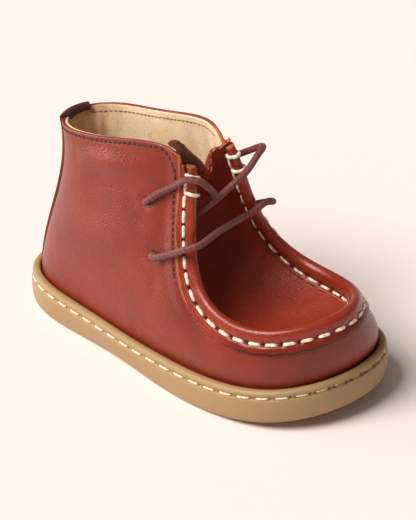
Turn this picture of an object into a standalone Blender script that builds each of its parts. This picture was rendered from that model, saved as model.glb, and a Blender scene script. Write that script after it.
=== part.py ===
"""A toddler's moccasin-toe ankle derby for the right foot, standing empty on a floor.

The shoe is put together as a maker would do it: a gum rubber cup sole, an insole in the cup, a leather
upper that wraps the foot from heel to toe, an apron whose upper end is the tongue, a rolled seam strip over
the joint of upper and apron, a back strip and a lace through two pairs of punched holes.

Frame: metres, +Z up, +X to the toe, +Y to the wearer's left, which is the inner (medial) side of a right
shoe. The origin is on the floor, under the middle of the outsole. Shapes are first worked out with x running
from 0 at the heel to LENGTH at the toe and y from the heel's middle, and place_in_frame() moves them there.
"""

from collections import namedtuple

import bmesh
import bpy
import numpy as np
from mathutils import Vector

# ---------------------------------------------------------------- driving sizes
LENGTH = 0.140  # outsole, heel to toe: a European size 21
BALL_WIDTH = 0.064  # outsole at the ball
COLLAR_HEIGHT = 0.071  # floor to the top line at the heel
SOLE_HEIGHT = 0.0122  # floor to the top of the rim
TOE_SPRING = 0.0058  # lift of the tread under the toe tip
SPRING_START = 0.62  # share of the length where the toe starts to lift

WALL = 0.0020  # upper: leather and lining together
APRON_THICKNESS = 0.0012
APRON_BURY = 0.0012  # the apron's middle lies this far below the upper's edge
FOLD_EASE = 0.0003  # where the apron turns down it stands this much further in, and this much less deep
TONGUE_POINTS = 25  # points across the apron and tongue
TONGUE_TOP_REACH = 3.0  # ribs below the facing's top over which the tongue takes the shape of its top edge
GAP = 0.0003  # clearance between pieces that touch

# The last's centre line swings out at the waist and in towards the toe.
WAIST_SWING = 0.0017
TOE_SWING = 0.0055
SEAM_SWING = 0.0016  # the upper's top edge swings in less than the sole does

# Sole
RIM_INSET = 0.0034  # from the widest line of the side to the inner edge of the rim
CUP_FLOOR = 0.0045
ARCH_INSET = 0.0025  # the side is undercut at the arch
ARCH_PLACE = 0.40  # share of the length
GROOVE_HEIGHT = 0.0097
GROOVE_DEPTH = 0.0006
INSOLE_THICKNESS = 0.0028
SOLE_STATIONS = 72

# Back strip
STRIP_HALF_WIDTH = 0.0064
STRIP_FLARE = 0.0016  # it is this much wider to each side at the sole
STRIP_THICKNESS = 0.0010
STRIP_FOLD = 0.0036  # how far it reaches down inside the collar

# Lace and its holes
LACE_DIAMETER = 0.0021
LACE_SPACING = 1.2  # lace diameters between the points of a strand
EYELET_RADIUS = 0.0015

# ---------------------------------------------------------------- tables
Station = namedtuple("Station", "turn half_width")
# The widest line of the sole. turn goes from 0 degrees at the heel to 180 at the toe, and sets how far along
# the length a station is; half_width is a share of half the ball width.
SOLE_OUTLINE = (
    Station(0, 0.0),
    Station(20, 0.405),
    Station(45, 0.695),
    Station(70, 0.785),
    Station(95, 0.920),
    Station(120, 1.0),
    Station(142, 0.858),
    Station(163, 0.447),
    Station(180, 0.0),
)

SideRow = namedtuple("SideRow", "height inset arch_share")
# The sole's surface from the tread up its side, over the rim and down into the cup. arch_share is how much of
# the arch's undercut a row takes.
SOLE_SIDE = (
    SideRow(0.0, 0.0018, 1.0),
    SideRow(0.0007, 0.0008, 0.85),
    SideRow(0.0022, 0.0002, 0.60),
    SideRow(0.0048, 0.0, 0.30),
    SideRow(GROOVE_HEIGHT - 0.0010, 0.0003, 0.0),
    SideRow(GROOVE_HEIGHT - 0.0005, 0.0003 + GROOVE_DEPTH, 0.0),
    SideRow(GROOVE_HEIGHT + 0.0004, 0.0004 + GROOVE_DEPTH, 0.0),
    SideRow(GROOVE_HEIGHT + 0.0009, 0.0005, 0.0),
    SideRow(SOLE_HEIGHT - 0.0007, 0.0009, 0.0),
    SideRow(SOLE_HEIGHT - 0.0001, 0.0016, 0.0),
    SideRow(SOLE_HEIGHT, RIM_INSET, 0.0),
    SideRow(CUP_FLOOR, RIM_INSET, 0.0),
)

Rib = namedtuple("Rib", "foot_turn top_x top_half top_z low high tuck")
# The ribs of the upper, from the back of the heel along one side to the toe. A rib stands on the sole's
# inner rim at foot_turn and ends on the upper's top edge: first the collar, then the facing, then the seam
# round the apron. low and high push the rib out at one and two thirds of its height. tuck is the angle, in
# degrees, at which the apron leaves the edge: 0 is straight across, 90 is back along the inside of the wall.
RIBS = (
    Rib(0, 0.0148, 0.0, COLLAR_HEIGHT - 0.0006, -0.0022, -0.0052, 0),
    Rib(18, 0.0164, 0.0065, COLLAR_HEIGHT - 0.0006, -0.0022, -0.0052, 0),
    Rib(35, 0.0208, 0.0107, COLLAR_HEIGHT + 0.0001, -0.0014, -0.0042, 0),
    Rib(50, 0.0286, 0.0131, COLLAR_HEIGHT + 0.0018, 0.0001, -0.0024, 0),
    Rib(62, 0.0408, 0.0133, COLLAR_HEIGHT + 0.0046, 0.0016, -0.0006, 0),
    Rib(71, 0.0535, 0.0124, COLLAR_HEIGHT + 0.0080, 0.0026, 0.0006, 0),
    Rib(78, 0.0643, 0.0110, COLLAR_HEIGHT + 0.0100, 0.0030, 0.0012, 40),
    Rib(83, 0.0714, 0.0097, COLLAR_HEIGHT + 0.0092, 0.0032, 0.0016, 60),
    Rib(86.5, 0.0756, 0.0091, COLLAR_HEIGHT + 0.0069, 0.0034, 0.0020, 70),
    Rib(89, 0.0778, 0.0094, COLLAR_HEIGHT + 0.0036, 0.0036, 0.0024, 72),
    Rib(92, 0.0788, 0.0108, 0.0693, 0.0037, 0.0027, 70),
    Rib(96, 0.0800, 0.0133, 0.0613, 0.0038, 0.0032, 62),
    Rib(102, 0.0826, 0.0167, 0.0502, 0.0038, 0.0036, 42),
    Rib(109, 0.0874, 0.0205, 0.0396, 0.0034, 0.0036, 18),
    Rib(118, 0.0958, 0.0234, 0.0324, 0.0028, 0.0030, 2),
    Rib(130, 0.1076, 0.0243, 0.0296, 0.0022, 0.0022, -6),
    Rib(143, 0.1200, 0.0216, 0.0302, 0.0018, 0.0018, -10),
    Rib(158, 0.1300, 0.0136, 0.0324, 0.0016, 0.0016, -10),
    Rib(180, 0.1352, 0.0, 0.0340, 0.0016, 0.0016, -10),
)
TOE = len(RIBS) - 1
TIGHT_FROM = 14  # rib from which the curve round the toe needs closer sections
SEAM_START = 9  # the rib where the seam strip begins, at the top of the facing

# Heights up a rib, from -1 on the floor of the cup, past 0 at the sole's rim, to 1 at the top edge.
RIB_STEPS = (-1, 0, 0.09, 0.20, 0.33, 0.47, 0.61, 0.74, 0.86, 0.94, 1)

SeamRow = namedtuple("SeamRow", "out up")
# The section of the seam strip, from the foot of its flange over the ridge and back under it. out is away
# from the foot, up is on from the upper's edge.
SEAM_SECTION = (
    SeamRow(0.0, -0.0030),
    SeamRow(0.0007, -0.0031),
    SeamRow(0.0010, -0.0024),
    SeamRow(0.0009, -0.0004),
    SeamRow(0.0014, 0.0006),
    SeamRow(0.0017, 0.0018),
    SeamRow(0.0016, 0.0031),
    SeamRow(0.0009, 0.0043),
    SeamRow(-0.0004, 0.0051),
    SeamRow(-0.0019, 0.0050),
    SeamRow(-0.0029, 0.0040),
    SeamRow(-0.0033, 0.0026),
    SeamRow(-0.0032, 0.0011),
    SeamRow(-0.0028, 0.0004),
    SeamRow(-0.0012, 0.0004),
    SeamRow(0.0, 0.0004),
)
RIDGE_AT_FACING = 0.74  # the ridge is smaller on the facings than round the toe
RIDGE_GROWS_UNTIL = 15  # rib
SQUARE_END = 1.0  # ribs over which the strip's end keeps one direction, so that it is cut square

TonguePoint = namedtuple("TonguePoint", "x half z")
# The tongue's top edge between the two facings, from the lateral side. Its outer wing leans back above the
# collar, the middle is folded down into the throat and the inner wing stands beside the other facing.
TONGUE_TOP = (
    TonguePoint(0.0694, -0.0064, 0.0804),
    TonguePoint(0.0698, -0.0057, 0.0810),
    TonguePoint(0.0710, -0.0049, 0.0797),
    TonguePoint(0.0738, -0.0035, 0.0762),
    TonguePoint(0.0770, -0.0015, 0.0718),
    TonguePoint(0.0782, 0.0004, 0.0699),
    TonguePoint(0.0774, 0.0024, 0.0716),
    TonguePoint(0.0766, 0.0038, 0.0746),
    TonguePoint(0.0768, 0.0048, 0.0764),
    TonguePoint(0.0774, 0.0060, 0.0766),
)

Eyelet = namedtuple("Eyelet", "place height")
# Punched holes, by rib and by height up the rib. Each is on both sides.
EYELETS = (
    Eyelet(6.48, 0.713),
    Eyelet(8.58, 0.512),
)

LacePoint = namedtuple("LacePoint", "x y z")
# The lace's strands outside the leather. The upper one leaves the top lateral hole, runs over the ridge and
# meets the slanting one, which climbs out of the throat and over the other ridge to the top medial hole.
LACE_UPPER = (
    LacePoint(0.0655, -0.0188, 0.0620),
    LacePoint(0.0705, -0.0167, 0.0664),
    LacePoint(0.0754, -0.0147, 0.0700),
    LacePoint(0.0805, -0.0142, 0.0738),
    LacePoint(0.0840, -0.0122, 0.0736),
    LacePoint(0.0846, -0.0095, 0.0708),
    LacePoint(0.0836, -0.0068, 0.0683),
    LacePoint(0.0829, -0.0030, 0.0629),
)
LACE_SLANT = (
    LacePoint(0.0814, -0.0078, 0.0600),
    LacePoint(0.0828, -0.0037, 0.0625),
    LacePoint(0.0836, 0.0004, 0.0644),
    LacePoint(0.0846, 0.0046, 0.0667),
    LacePoint(0.0853, 0.0096, 0.0692),
    LacePoint(0.0855, 0.0140, 0.0728),
    LacePoint(0.0842, 0.0182, 0.0738),
    LacePoint(0.0795, 0.0203, 0.0712),
    LacePoint(0.0725, 0.0204, 0.0662),
    LacePoint(0.0668, 0.0196, 0.0620),
)
# The lower strand is a bar from hole to hole across both ridges.
LACE_BAR = (
    LacePoint(0.0722, -0.0232, 0.0450),
    LacePoint(0.0765, -0.0221, 0.0482),
    LacePoint(0.0811, -0.0208, 0.0516),
    LacePoint(0.0850, -0.0203, 0.0545),
    LacePoint(0.0885, -0.0176, 0.0560),
    LacePoint(0.0886, -0.0140, 0.0560),
    LacePoint(0.0877, -0.0084, 0.0555),
    LacePoint(0.0866, -0.0004, 0.0540),
    LacePoint(0.0864, 0.0060, 0.0532),
    LacePoint(0.0874, 0.0110, 0.0542),
    LacePoint(0.0886, 0.0150, 0.0560),
    LacePoint(0.0882, 0.0186, 0.0545),
    LacePoint(0.0845, 0.0208, 0.0520),
    LacePoint(0.0785, 0.0222, 0.0485),
    LacePoint(0.0730, 0.0234, 0.0455),
)


# ---------------------------------------------------------------- curves
def smooth(knots, values):
    """Cubic spline through values at the knots, as a function."""
    knots = np.asarray(knots, float)
    values = np.asarray(values, float)
    size = len(knots)
    span = np.diff(knots)
    slope = np.diff(values) / span
    system = np.eye(size)
    change = np.zeros(size)
    for i in range(1, size - 1):
        system[i, i - 1 : i + 2] = span[i - 1], 2 * (span[i - 1] + span[i]), span[i]
        change[i] = 6 * (slope[i] - slope[i - 1])
    bend = np.linalg.solve(system, change)

    def value(at):
        i = np.clip(np.searchsorted(knots, at, side="right") - 1, 0, size - 2)
        a = (knots[i + 1] - at) / span[i]
        b = 1 - a
        cubic = (a**3 - a) * bend[i] + (b**3 - b) * bend[i + 1]
        return a * values[i] + b * values[i + 1] + cubic * span[i] ** 2 / 6

    return value


def mirrored(knots, values, odd):
    """Spline of a column that is mirrored at its first and last row. An odd one changes sign there."""
    knots = list(knots)
    values = list(values)

    def reflect(pivot, row):
        return 2 * pivot - row if odd else row

    ahead = [2 * knots[-1] - k for k in knots[-2::-1]]
    behind = [2 * knots[0] - k for k in knots[:0:-1]]
    values_behind = [reflect(values[0], v) for v in values[:0:-1]]
    values_ahead = [reflect(values[-1], v) for v in values[-2::-1]]
    curve = smooth(behind + knots + ahead, values_behind + values + values_ahead)

    def value(at):
        return np.where(at < knots[0], reflect(values[0], curve(2 * knots[0] - at)), curve(at))

    return value


def unit(vectors):
    """The vectors at length 1."""
    return vectors / np.linalg.norm(vectors, axis=-1, keepdims=True)


def points(x, y, z):
    """Coordinates put together as points."""
    return np.stack(np.broadcast_arrays(x, y, z), axis=-1).astype(float)


# ---------------------------------------------------------------- the last
def centre(x, swing=TOE_SWING):
    """Sideways place of the last's centre line."""
    share = x / LENGTH
    return swing * share**3 - WAIST_SWING * np.exp(-(((share - 0.42) / 0.20) ** 2))


def toe_lift(x):
    """Toe spring: how far the sole has left the floor at x."""
    return TOE_SPRING * np.clip((x / LENGTH - SPRING_START) / (1 - SPRING_START), 0, 1) ** 2


half_width = mirrored(
    [row.turn for row in SOLE_OUTLINE], [row.half_width * BALL_WIDTH / 2 for row in SOLE_OUTLINE], odd=True
)


def widest_line(turn):
    """Point on the sole's widest line. turn is negative on the lateral side."""
    x = LENGTH * (1 - np.cos(np.radians(turn))) / 2
    return points(x, centre(x) + half_width(turn), 0)


def away(turn):
    """Level direction that points out of the sole's outline."""
    along = unit(widest_line(turn + 0.5) - widest_line(turn - 0.5))
    return points(-along[..., 1], along[..., 0], 0)


def outline(turn, inset, height):
    """Point inside the widest line by inset, at a height that follows the toe spring."""
    point = widest_line(turn) - away(turn) * np.expand_dims(inset, -1)
    point[..., 2] = height + toe_lift(point[..., 0])
    return point


def rib_column(name, odd=False):
    """A column of RIBS as a function of the place along the shoe, which is negative on the lateral side."""
    return mirrored(range(len(RIBS)), [getattr(rib, name) for rib in RIBS], odd)


foot_turn = rib_column("foot_turn", odd=True)
top_x = rib_column("top_x")
top_half = rib_column("top_half", odd=True)
top_z = rib_column("top_z")
low = rib_column("low")
high = rib_column("high")
tuck = rib_column("tuck")


def last(place, height):
    """The upper's outer surface. place is a rib's number, height runs from -1 in the cup to 1 at the edge."""
    place, height = np.broadcast_arrays(np.asarray(place, float), np.asarray(height, float))
    turn = foot_turn(place)
    outward = away(turn)
    foot = outline(turn, np.full(place.shape, RIM_INSET + GAP), SOLE_HEIGHT)
    middle = centre(top_x(place), SEAM_SWING)
    top = points(top_x(place), middle + top_half(place), top_z(place))
    rise = points(0, 0, (top[..., 2] - foot[..., 2]) / 3)
    lower = foot + rise + outward * low(place)[..., None]
    upper = top + (foot - top) / 3 + outward * high(place)[..., None]
    t = np.clip(height, 0, 1)[..., None]
    surface = foot * (1 - t) ** 3 + 3 * lower * t * (1 - t) ** 2 + 3 * upper * t**2 * (1 - t) + top * t**3
    surface[..., 2] += np.clip(height, -1, 0) * (SOLE_HEIGHT - CUP_FLOOR - GAP)
    return surface


def outward(place, height):
    """Unit normal of the last's surface."""
    height = np.clip(height, 0.002, 0.998)
    around = last(place + 0.02, height) - last(place - 0.02, height)
    upward = last(place, height + 0.002) - last(place, height - 0.002)
    return unit(np.cross(upward, around))


def wall(place, height, depth):
    """A point of the upper's wall, depth in from its outer surface."""
    return last(place, height) - outward(place, height) * np.expand_dims(depth, -1)


def edge_frame(place):
    """The upper's top edge at a place: its point, the way out of the wall and the way on from its edge."""
    out = outward(place, 1.0)
    along = last(place + 0.02, 1.0) - last(place - 0.02, 1.0)
    return last(place, 1.0), out, unit(np.cross(along, out))


# ---------------------------------------------------------------- meshes
def place_in_frame(point):
    """From the heel's middle to the object's frame."""
    side = outline(np.linspace(-180, 180, 721), np.zeros(721), 0.0)[:, 1]
    return Vector((point[0] - LENGTH / 2, point[1] - (side.min() + side.max()) / 2, point[2]))


def loft(loops, ends):
    """A closed skin over loops of points. ends says how it closes: "ring" joins the last loop to the first,
    "strips" fills each end with strips from side to side, and "face" with one flat face."""
    shape = bmesh.new()
    rows = [[shape.verts.new(place_in_frame(p)) for p in loop] for loop in loops]
    size = len(rows[0])
    following = rows[1:] + rows[:1] if ends == "ring" else rows[1:]
    for row, other in zip(rows, following):
        for i in range(size):
            shape.faces.new((row[i], row[(i + 1) % size], other[(i + 1) % size], other[i]))
    for end in (rows[0], rows[-1]):
        if ends == "strips":
            for i in range(size // 2 - 1):
                shape.faces.new((end[i], end[i + 1], end[size - 2 - i], end[size - 1 - i]))
        if ends == "face":
            shape.faces.new(end)
    bmesh.ops.recalc_face_normals(shape, faces=shape.faces)
    return shape


def finish(name, shape, collection, material, sharp_angle=40):
    """Turn a bmesh into a named object."""
    mesh = bpy.data.meshes.new(name)
    shape.to_mesh(mesh)
    shape.free()
    mesh.shade_smooth()
    mesh.set_sharp_from_angle(angle=np.radians(sharp_angle))
    mesh.materials.append(material)
    item = bpy.data.objects.new(name, mesh)
    collection.objects.link(item)
    return item


def paint(name, colour, roughness):
    """A Principled material. The colour is linear RGB."""
    material = bpy.data.materials.new(name)
    material.use_nodes = True
    shader = material.node_tree.nodes["Principled BSDF"]
    shader.inputs["Base Color"].default_value = (*colour, 1)
    shader.inputs["Roughness"].default_value = roughness
    shader.inputs["Metallic"].default_value = 0
    return material


# ---------------------------------------------------------------- the pieces
def make_outsole(collection):
    """Gum rubber cup sole: tread, rounded side with a stitching groove, rim and cup in one piece."""
    turn = np.linspace(-180, 180, SOLE_STATIONS + 1)[:-1]
    length_share = (1 - np.cos(np.radians(turn))) / 2
    arch = ARCH_INSET * np.exp(-(((length_share - ARCH_PLACE) / 0.16) ** 2))
    loops = [outline(turn, row.inset + row.arch_share * arch, row.height) for row in SOLE_SIDE]
    gum = paint("gum_rubber", (0.50, 0.31, 0.15), 0.55)
    # The ends are filled in strips from side to side, so a loop starts at the toe.
    return finish("outsole", loft(loops, "strips"), collection, gum)


def make_insole(collection):
    """Footbed inside the foot of the upper, with a rounded rim."""
    turn = np.linspace(-180, 180, SOLE_STATIONS + 1)[:-1]
    inset = RIM_INSET + WALL + 2 * GAP
    bottom = CUP_FLOOR + GAP
    rows = (
        (inset + 0.0005, bottom),
        (inset, bottom + 0.0005),
        (inset, bottom + INSOLE_THICKNESS - 0.0006),
        (inset + 0.0006, bottom + INSOLE_THICKNESS),
        (inset + 0.0040, bottom + INSOLE_THICKNESS - 0.0004),
    )
    loops = [outline(turn, np.full(turn.shape, depth), height) for depth, height in rows]
    footbed = paint("footbed_leather", (0.62, 0.42, 0.24), 0.7)
    return finish("insole", loft(loops, "strips"), collection, footbed)


def make_upper(collection):
    """The wrap of the upper: one hollow wall from the cup to the collar, facings and apron seam."""
    side = np.concatenate([np.arange(0, TIGHT_FROM, 0.5), np.arange(TIGHT_FROM, TOE, 0.25)])
    places = np.concatenate([[-TOE], -side[:0:-1], side])
    outside = np.array(RIB_STEPS)
    inside = outside[::-1]
    loops = [np.concatenate([wall(p, outside, 0), wall(p, inside, WALL)]) for p in places]
    leather = paint("red_brown_leather", (0.30, 0.075, 0.045), 0.45)
    return finish("upper", loft(loops, "ring"), collection, leather)


def seam_places(steps):
    """Places along the seam from the lateral facing round the toe to the medial facing."""
    side = np.linspace(SEAM_START, TOE, steps)
    return np.concatenate([-side, side[-2::-1]])


def make_seam_roll(collection):
    """Rolled strip over the joint of upper and apron, with a flange that is stitched down on the upper."""
    loops = []
    for place in seam_places(3 * (TOE - SEAM_START) + 1):
        edge = last(place, 1.0)
        steady = np.sign(place) * max(abs(place), SEAM_START + SQUARE_END)
        _, out, on = edge_frame(steady)
        growth = np.clip((abs(place) - SEAM_START) / (RIDGE_GROWS_UNTIL - SEAM_START), 0, 1)
        size = RIDGE_AT_FACING + (1 - RIDGE_AT_FACING) * growth
        loops.append([edge + out * (GAP + row.out * size) + on * row.up * size for row in SEAM_SECTION])
    leather = paint("rolled_leather", (0.24, 0.055, 0.030), 0.4)
    return finish("seam_roll", loft(loops, "face"), collection, leather)


def apron_row(place, across):
    """The apron's middle surface from the lateral to the medial side, at one place along the seam."""
    fold = np.sin(np.radians(max(float(tuck(place)), 0)))
    angle = np.radians(tuck(place))
    ends = []
    for side in (-place, place):
        edge, out, on = edge_frame(side)
        inset = WALL + GAP + (APRON_THICKNESS / 2 + FOLD_EASE) * fold
        start = edge - out * inset - on * (APRON_BURY - FOLD_EASE * fold)
        ends.append((start, -out * np.cos(angle) - on * np.sin(angle)))
    (first, first_way), (final, final_way) = ends
    reach = np.linalg.norm(final - first) * (0.36 + 0.34 * fold)
    t = across[:, None]
    lateral_pull = 3 * (first + first_way * reach) * t * (1 - t) ** 2
    medial_pull = 3 * (final + final_way * reach) * t**2 * (1 - t)
    return first * (1 - t) ** 3 + lateral_pull + medial_pull + final * t**3


def make_apron_tongue(collection):
    """Apron of the toe, running on up the throat as the tongue."""
    across = (1 - np.cos(np.linspace(0, np.pi, TONGUE_POINTS))) / 2
    top_points = np.array([(p.x, centre(p.x, SEAM_SWING) + p.half, p.z) for p in TONGUE_TOP])
    run = np.concatenate([[0], np.cumsum(np.linalg.norm(np.diff(top_points, axis=0), axis=1))])
    top_edge = np.stack([smooth(run / run[-1], column)(across) for column in top_points.T], axis=-1)
    rows = []
    for place in np.concatenate([[TOE - 0.1, TOE - 0.3], np.linspace(TOE - 0.6, SEAM_START, 20)]):
        share = np.clip((SEAM_START + TONGUE_TOP_REACH - place) / TONGUE_TOP_REACH, 0, 1)
        blend = share * share * (3 - 2 * share)
        rows.append(apron_row(place, across) * (1 - blend) + top_edge * blend)
    middle = np.array(rows)
    normal = unit(np.cross(np.gradient(middle, axis=0), np.gradient(middle, axis=1))) * APRON_THICKNESS / 2
    loops = np.concatenate([middle + normal, (middle - normal)[:, ::-1]], axis=1)
    leather = paint("apron_leather", (0.20, 0.045, 0.028), 0.45)
    return finish("apron_tongue", loft(loops, "strips"), collection, leather)


def strip_loop(width_share):
    """Section of the back strip from top to bottom, at a share of its half width."""
    heights = np.array([0.008, 0.12, 0.24, 0.36, 0.48, 0.60, 0.72, 0.84, 0.93, 1.0])
    spots = np.linspace(-3, 3, 121)
    places = []
    for height in heights:
        line = last(spots, height)
        run = np.concatenate([[0], np.cumsum(np.linalg.norm(np.diff(line, axis=0), axis=1))])
        run -= run[len(run) // 2]
        half = STRIP_HALF_WIDTH + STRIP_FLARE * (1 - height)
        places.append(np.interp(width_share * half, run, spots))
    places = np.array(places)
    skin = last(places, heights)
    out = outward(places, heights)
    edge, edge_out, on = edge_frame(places[-1])
    fold = [edge - edge_out * WALL - on * drop for drop in (0.0, STRIP_FOLD / 2, STRIP_FOLD)]
    far = GAP + STRIP_THICKNESS
    outer = [*(skin + out * far)]
    outer += [edge + (edge_out + on) * far * 0.75, edge - edge_out * WALL / 2 + on * far]
    outer += [edge - edge_out * (WALL + far * 0.75) + on * far * 0.75]
    outer += [point - edge_out * far for point in fold]
    inner = [*(skin + out * GAP)]
    inner += [edge + (edge_out + on) * GAP, edge - edge_out * WALL / 2 + on * GAP]
    inner += [edge - edge_out * (WALL + GAP) + on * GAP]
    inner += [point - edge_out * GAP for point in fold]
    return outer + inner[::-1]


def make_heel_strip(collection):
    """Back strip over the heel seam, turned over the collar and down inside it."""
    loops = [strip_loop(share) for share in np.linspace(-1, 1, 9)]
    leather = paint("strip_leather", (0.12, 0.028, 0.020), 0.45)
    return finish("heel_strip", loft(loops, "strips"), collection, leather)


def punch_eyelets(upper, cutters):
    """Cut the two pairs of lace holes through the upper."""
    for side in (-1, 1):
        for number, eyelet in enumerate(EYELETS):
            place = side * eyelet.place
            way = Vector(outward(place, eyelet.height))
            spot = place_in_frame(last(place, eyelet.height))
            shape = bmesh.new()
            bmesh.ops.create_cone(
                shape,
                segments=16,
                radius1=EYELET_RADIUS,
                radius2=EYELET_RADIUS,
                depth=4 * WALL,
                cap_ends=True,
            )
            mesh = bpy.data.meshes.new("punch")
            shape.to_mesh(mesh)
            shape.free()
            punch = bpy.data.objects.new(f"punch_{'lateral' if side < 0 else 'medial'}_{number + 1}", mesh)
            punch.location = spot - way * WALL / 2
            punch.rotation_euler = way.to_track_quat("Z", "Y").to_euler()
            punch.hide_render = True
            punch.display_type = "WIRE"
            cutters.objects.link(punch)
            cut = upper.modifiers.new(punch.name, "BOOLEAN")
            cut.operation = "DIFFERENCE"
            cut.object = punch


def make_strand(name, route, collection, material):
    """A round lace strand along a smooth curve through its route's points."""
    route = np.array(route)
    run = np.concatenate([[0], np.cumsum(np.linalg.norm(np.diff(route, axis=0), axis=1))])
    steps = np.linspace(0, run[-1], int(run[-1] / (LACE_SPACING * LACE_DIAMETER)) + 2)
    line = np.stack([smooth(run, column)(steps) for column in route.T], axis=-1)
    curve = bpy.data.curves.new(name, "CURVE")
    curve.dimensions = "3D"
    curve.bevel_depth = LACE_DIAMETER / 2
    curve.bevel_resolution = 2
    curve.use_fill_caps = True
    spline = curve.splines.new("POLY")
    spline.points.add(len(line) - 1)
    for point, place in zip(spline.points, line):
        point.co = (*place_in_frame(place), 1)
    guide = bpy.data.objects.new(name + "_guide", curve)
    collection.objects.link(guide)
    mesh = bpy.data.meshes.new_from_object(guide.evaluated_get(bpy.context.evaluated_depsgraph_get()))
    bpy.data.objects.remove(guide, do_unlink=True)
    shape = bmesh.new()
    shape.from_mesh(mesh)
    bmesh.ops.remove_doubles(shape, verts=shape.verts, dist=0.00001)
    return finish(name, shape, collection, material)


def make_lace(collection, cutters):
    """The lace's visible strands: a crossing of two, joined where they touch, and a bar below it."""
    cord = paint("waxed_cord", (0.13, 0.040, 0.035), 0.6)
    crossing = make_strand("lace_crossing", LACE_UPPER, collection, cord)
    slant = make_strand("lace_slant", LACE_SLANT, cutters, cord)
    slant.hide_render = True
    slant.display_type = "WIRE"
    join = crossing.modifiers.new("slant", "BOOLEAN")
    join.operation = "UNION"
    join.object = slant
    make_strand("lace_bar", LACE_BAR, collection, cord)


def main():
    for item in list(bpy.data.objects):
        bpy.data.objects.remove(item, do_unlink=True)
    parts = bpy.data.collections.new("moccasin_toe_ankle_derby")
    cutters = bpy.data.collections.new("cutters")
    for collection in (parts, cutters):
        bpy.context.scene.collection.children.link(collection)
    make_outsole(parts)
    make_insole(parts)
    upper = make_upper(parts)
    punch_eyelets(upper, cutters)
    make_apron_tongue(parts)
    make_seam_roll(parts)
    make_heel_strip(parts)
    make_lace(parts, cutters)


main()
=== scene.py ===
"""A toddler's moccasin-toe ankle boot for the right foot: the looks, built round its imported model.

Sizes are in metres. Shapes are worked out with x from 0 at the heel to LENGTH at the toe and y from the
heel's middle, as a last maker would draw them, and skin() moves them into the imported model's frame.
"""

from collections import namedtuple
from functools import partial

import bmesh
import bpy
import numpy as np
from mathutils import Matrix, Vector
from mathutils.geometry import delaunay_2d_cdt
from mathutils.kdtree import KDTree


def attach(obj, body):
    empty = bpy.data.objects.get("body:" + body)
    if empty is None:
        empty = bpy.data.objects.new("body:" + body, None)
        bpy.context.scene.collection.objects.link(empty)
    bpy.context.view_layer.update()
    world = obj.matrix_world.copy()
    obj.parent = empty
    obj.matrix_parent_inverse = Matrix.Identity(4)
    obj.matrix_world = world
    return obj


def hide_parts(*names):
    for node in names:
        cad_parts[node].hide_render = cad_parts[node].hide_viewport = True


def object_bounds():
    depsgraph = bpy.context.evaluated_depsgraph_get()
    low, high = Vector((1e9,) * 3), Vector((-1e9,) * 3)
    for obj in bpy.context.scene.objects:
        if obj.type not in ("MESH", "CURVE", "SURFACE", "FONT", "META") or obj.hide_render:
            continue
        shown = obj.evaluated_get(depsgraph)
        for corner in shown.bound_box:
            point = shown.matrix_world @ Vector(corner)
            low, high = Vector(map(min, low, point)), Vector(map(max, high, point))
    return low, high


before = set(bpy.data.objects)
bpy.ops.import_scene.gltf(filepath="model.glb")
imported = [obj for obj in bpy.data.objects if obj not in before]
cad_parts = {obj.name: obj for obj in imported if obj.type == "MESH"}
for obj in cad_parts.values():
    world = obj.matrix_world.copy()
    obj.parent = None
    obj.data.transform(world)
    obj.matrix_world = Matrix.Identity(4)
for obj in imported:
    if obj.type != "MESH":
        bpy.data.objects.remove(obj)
solid_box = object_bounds()

# ==================== camera
# One boot, seen from above its outer side and ahead of the toe, as a customer sees it on a table. The long
# lens keeps the shape free of distortion.
VIEW_TURN = 43.05  # degrees round from the side view
VIEW_HEIGHT = 31.09  # degrees above the floor
VIEW_ROLL = -0.85
VIEW_DISTANCE = 1.0837
LENS = 224.9  # mm
AIM_RIGHT = 0.0029  # from the middle of the model's box
AIM_DOWN = 0.0074
FAR_END = 10  # of what the camera sees


def put(name, data):
    """An object in the scene."""
    item = bpy.data.objects.new(name, data)
    bpy.context.collection.objects.link(item)
    return item


lowest, highest = (Vector(corner) for corner in solid_box)
round_angle, up_angle, tilt = np.radians((VIEW_TURN, VIEW_HEIGHT, VIEW_ROLL))
level = Vector((np.cos(round_angle), np.sin(round_angle), 0))
back = Vector((
    np.sin(round_angle) * np.cos(up_angle), -np.cos(round_angle) * np.cos(up_angle), np.sin(up_angle)
))
right = level * np.cos(tilt) + back.cross(level) * np.sin(tilt)
above = back.cross(right)
aim = (lowest + highest) / 2 + right * AIM_RIGHT - above * AIM_DOWN
camera = put("camera", bpy.data.cameras.new("camera"))
camera.data.lens = LENS
camera.data.clip_end = FAR_END
axes = Matrix((right, above, back)).transposed().to_4x4()
camera.matrix_world = Matrix.Translation(aim + back * VIEW_DISTANCE) @ axes
bpy.context.scene.camera = camera
bpy.context.scene.view_settings.view_transform = "Standard"


# ==================== floor and light
# A seamless sheet of warm white card. Light from a high window to the left gives the soft shadow to the
# right, a low panel further round makes the gleam on the leather, and the pale room opens the shadows.
WINDOW_SPREAD = 0.62  # radians, so that shadows are soft
LOW_PANEL_SIZE = (1.1, 0.8)
ROOM_STRENGTH = 0.20
LIT_POINT = Vector((0, 0, 0.03))
CARD_REACH = 4.0


def linear(colour):
    """A hex colour as linear RGBA."""
    share = np.array([int(colour[i : i + 2], 16) for i in (0, 2, 4)]) / 255
    return (*np.where(share <= 0.04045, share / 12.92, ((share + 0.055) / 1.055) ** 2.4), 1)


def feed(node, inputs):
    """Set a node's inputs. A text is a hex colour. A node is linked by its factor or its first output."""
    for name, value in inputs.items():
        if isinstance(value, bpy.types.Node):
            value = value.outputs.get("Fac") or value.outputs[0]
        if isinstance(value, bpy.types.NodeSocket):
            node.id_data.links.new(value, node.inputs[name])
        else:
            node.inputs[name].default_value = linear(value) if isinstance(value, str) else value


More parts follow.
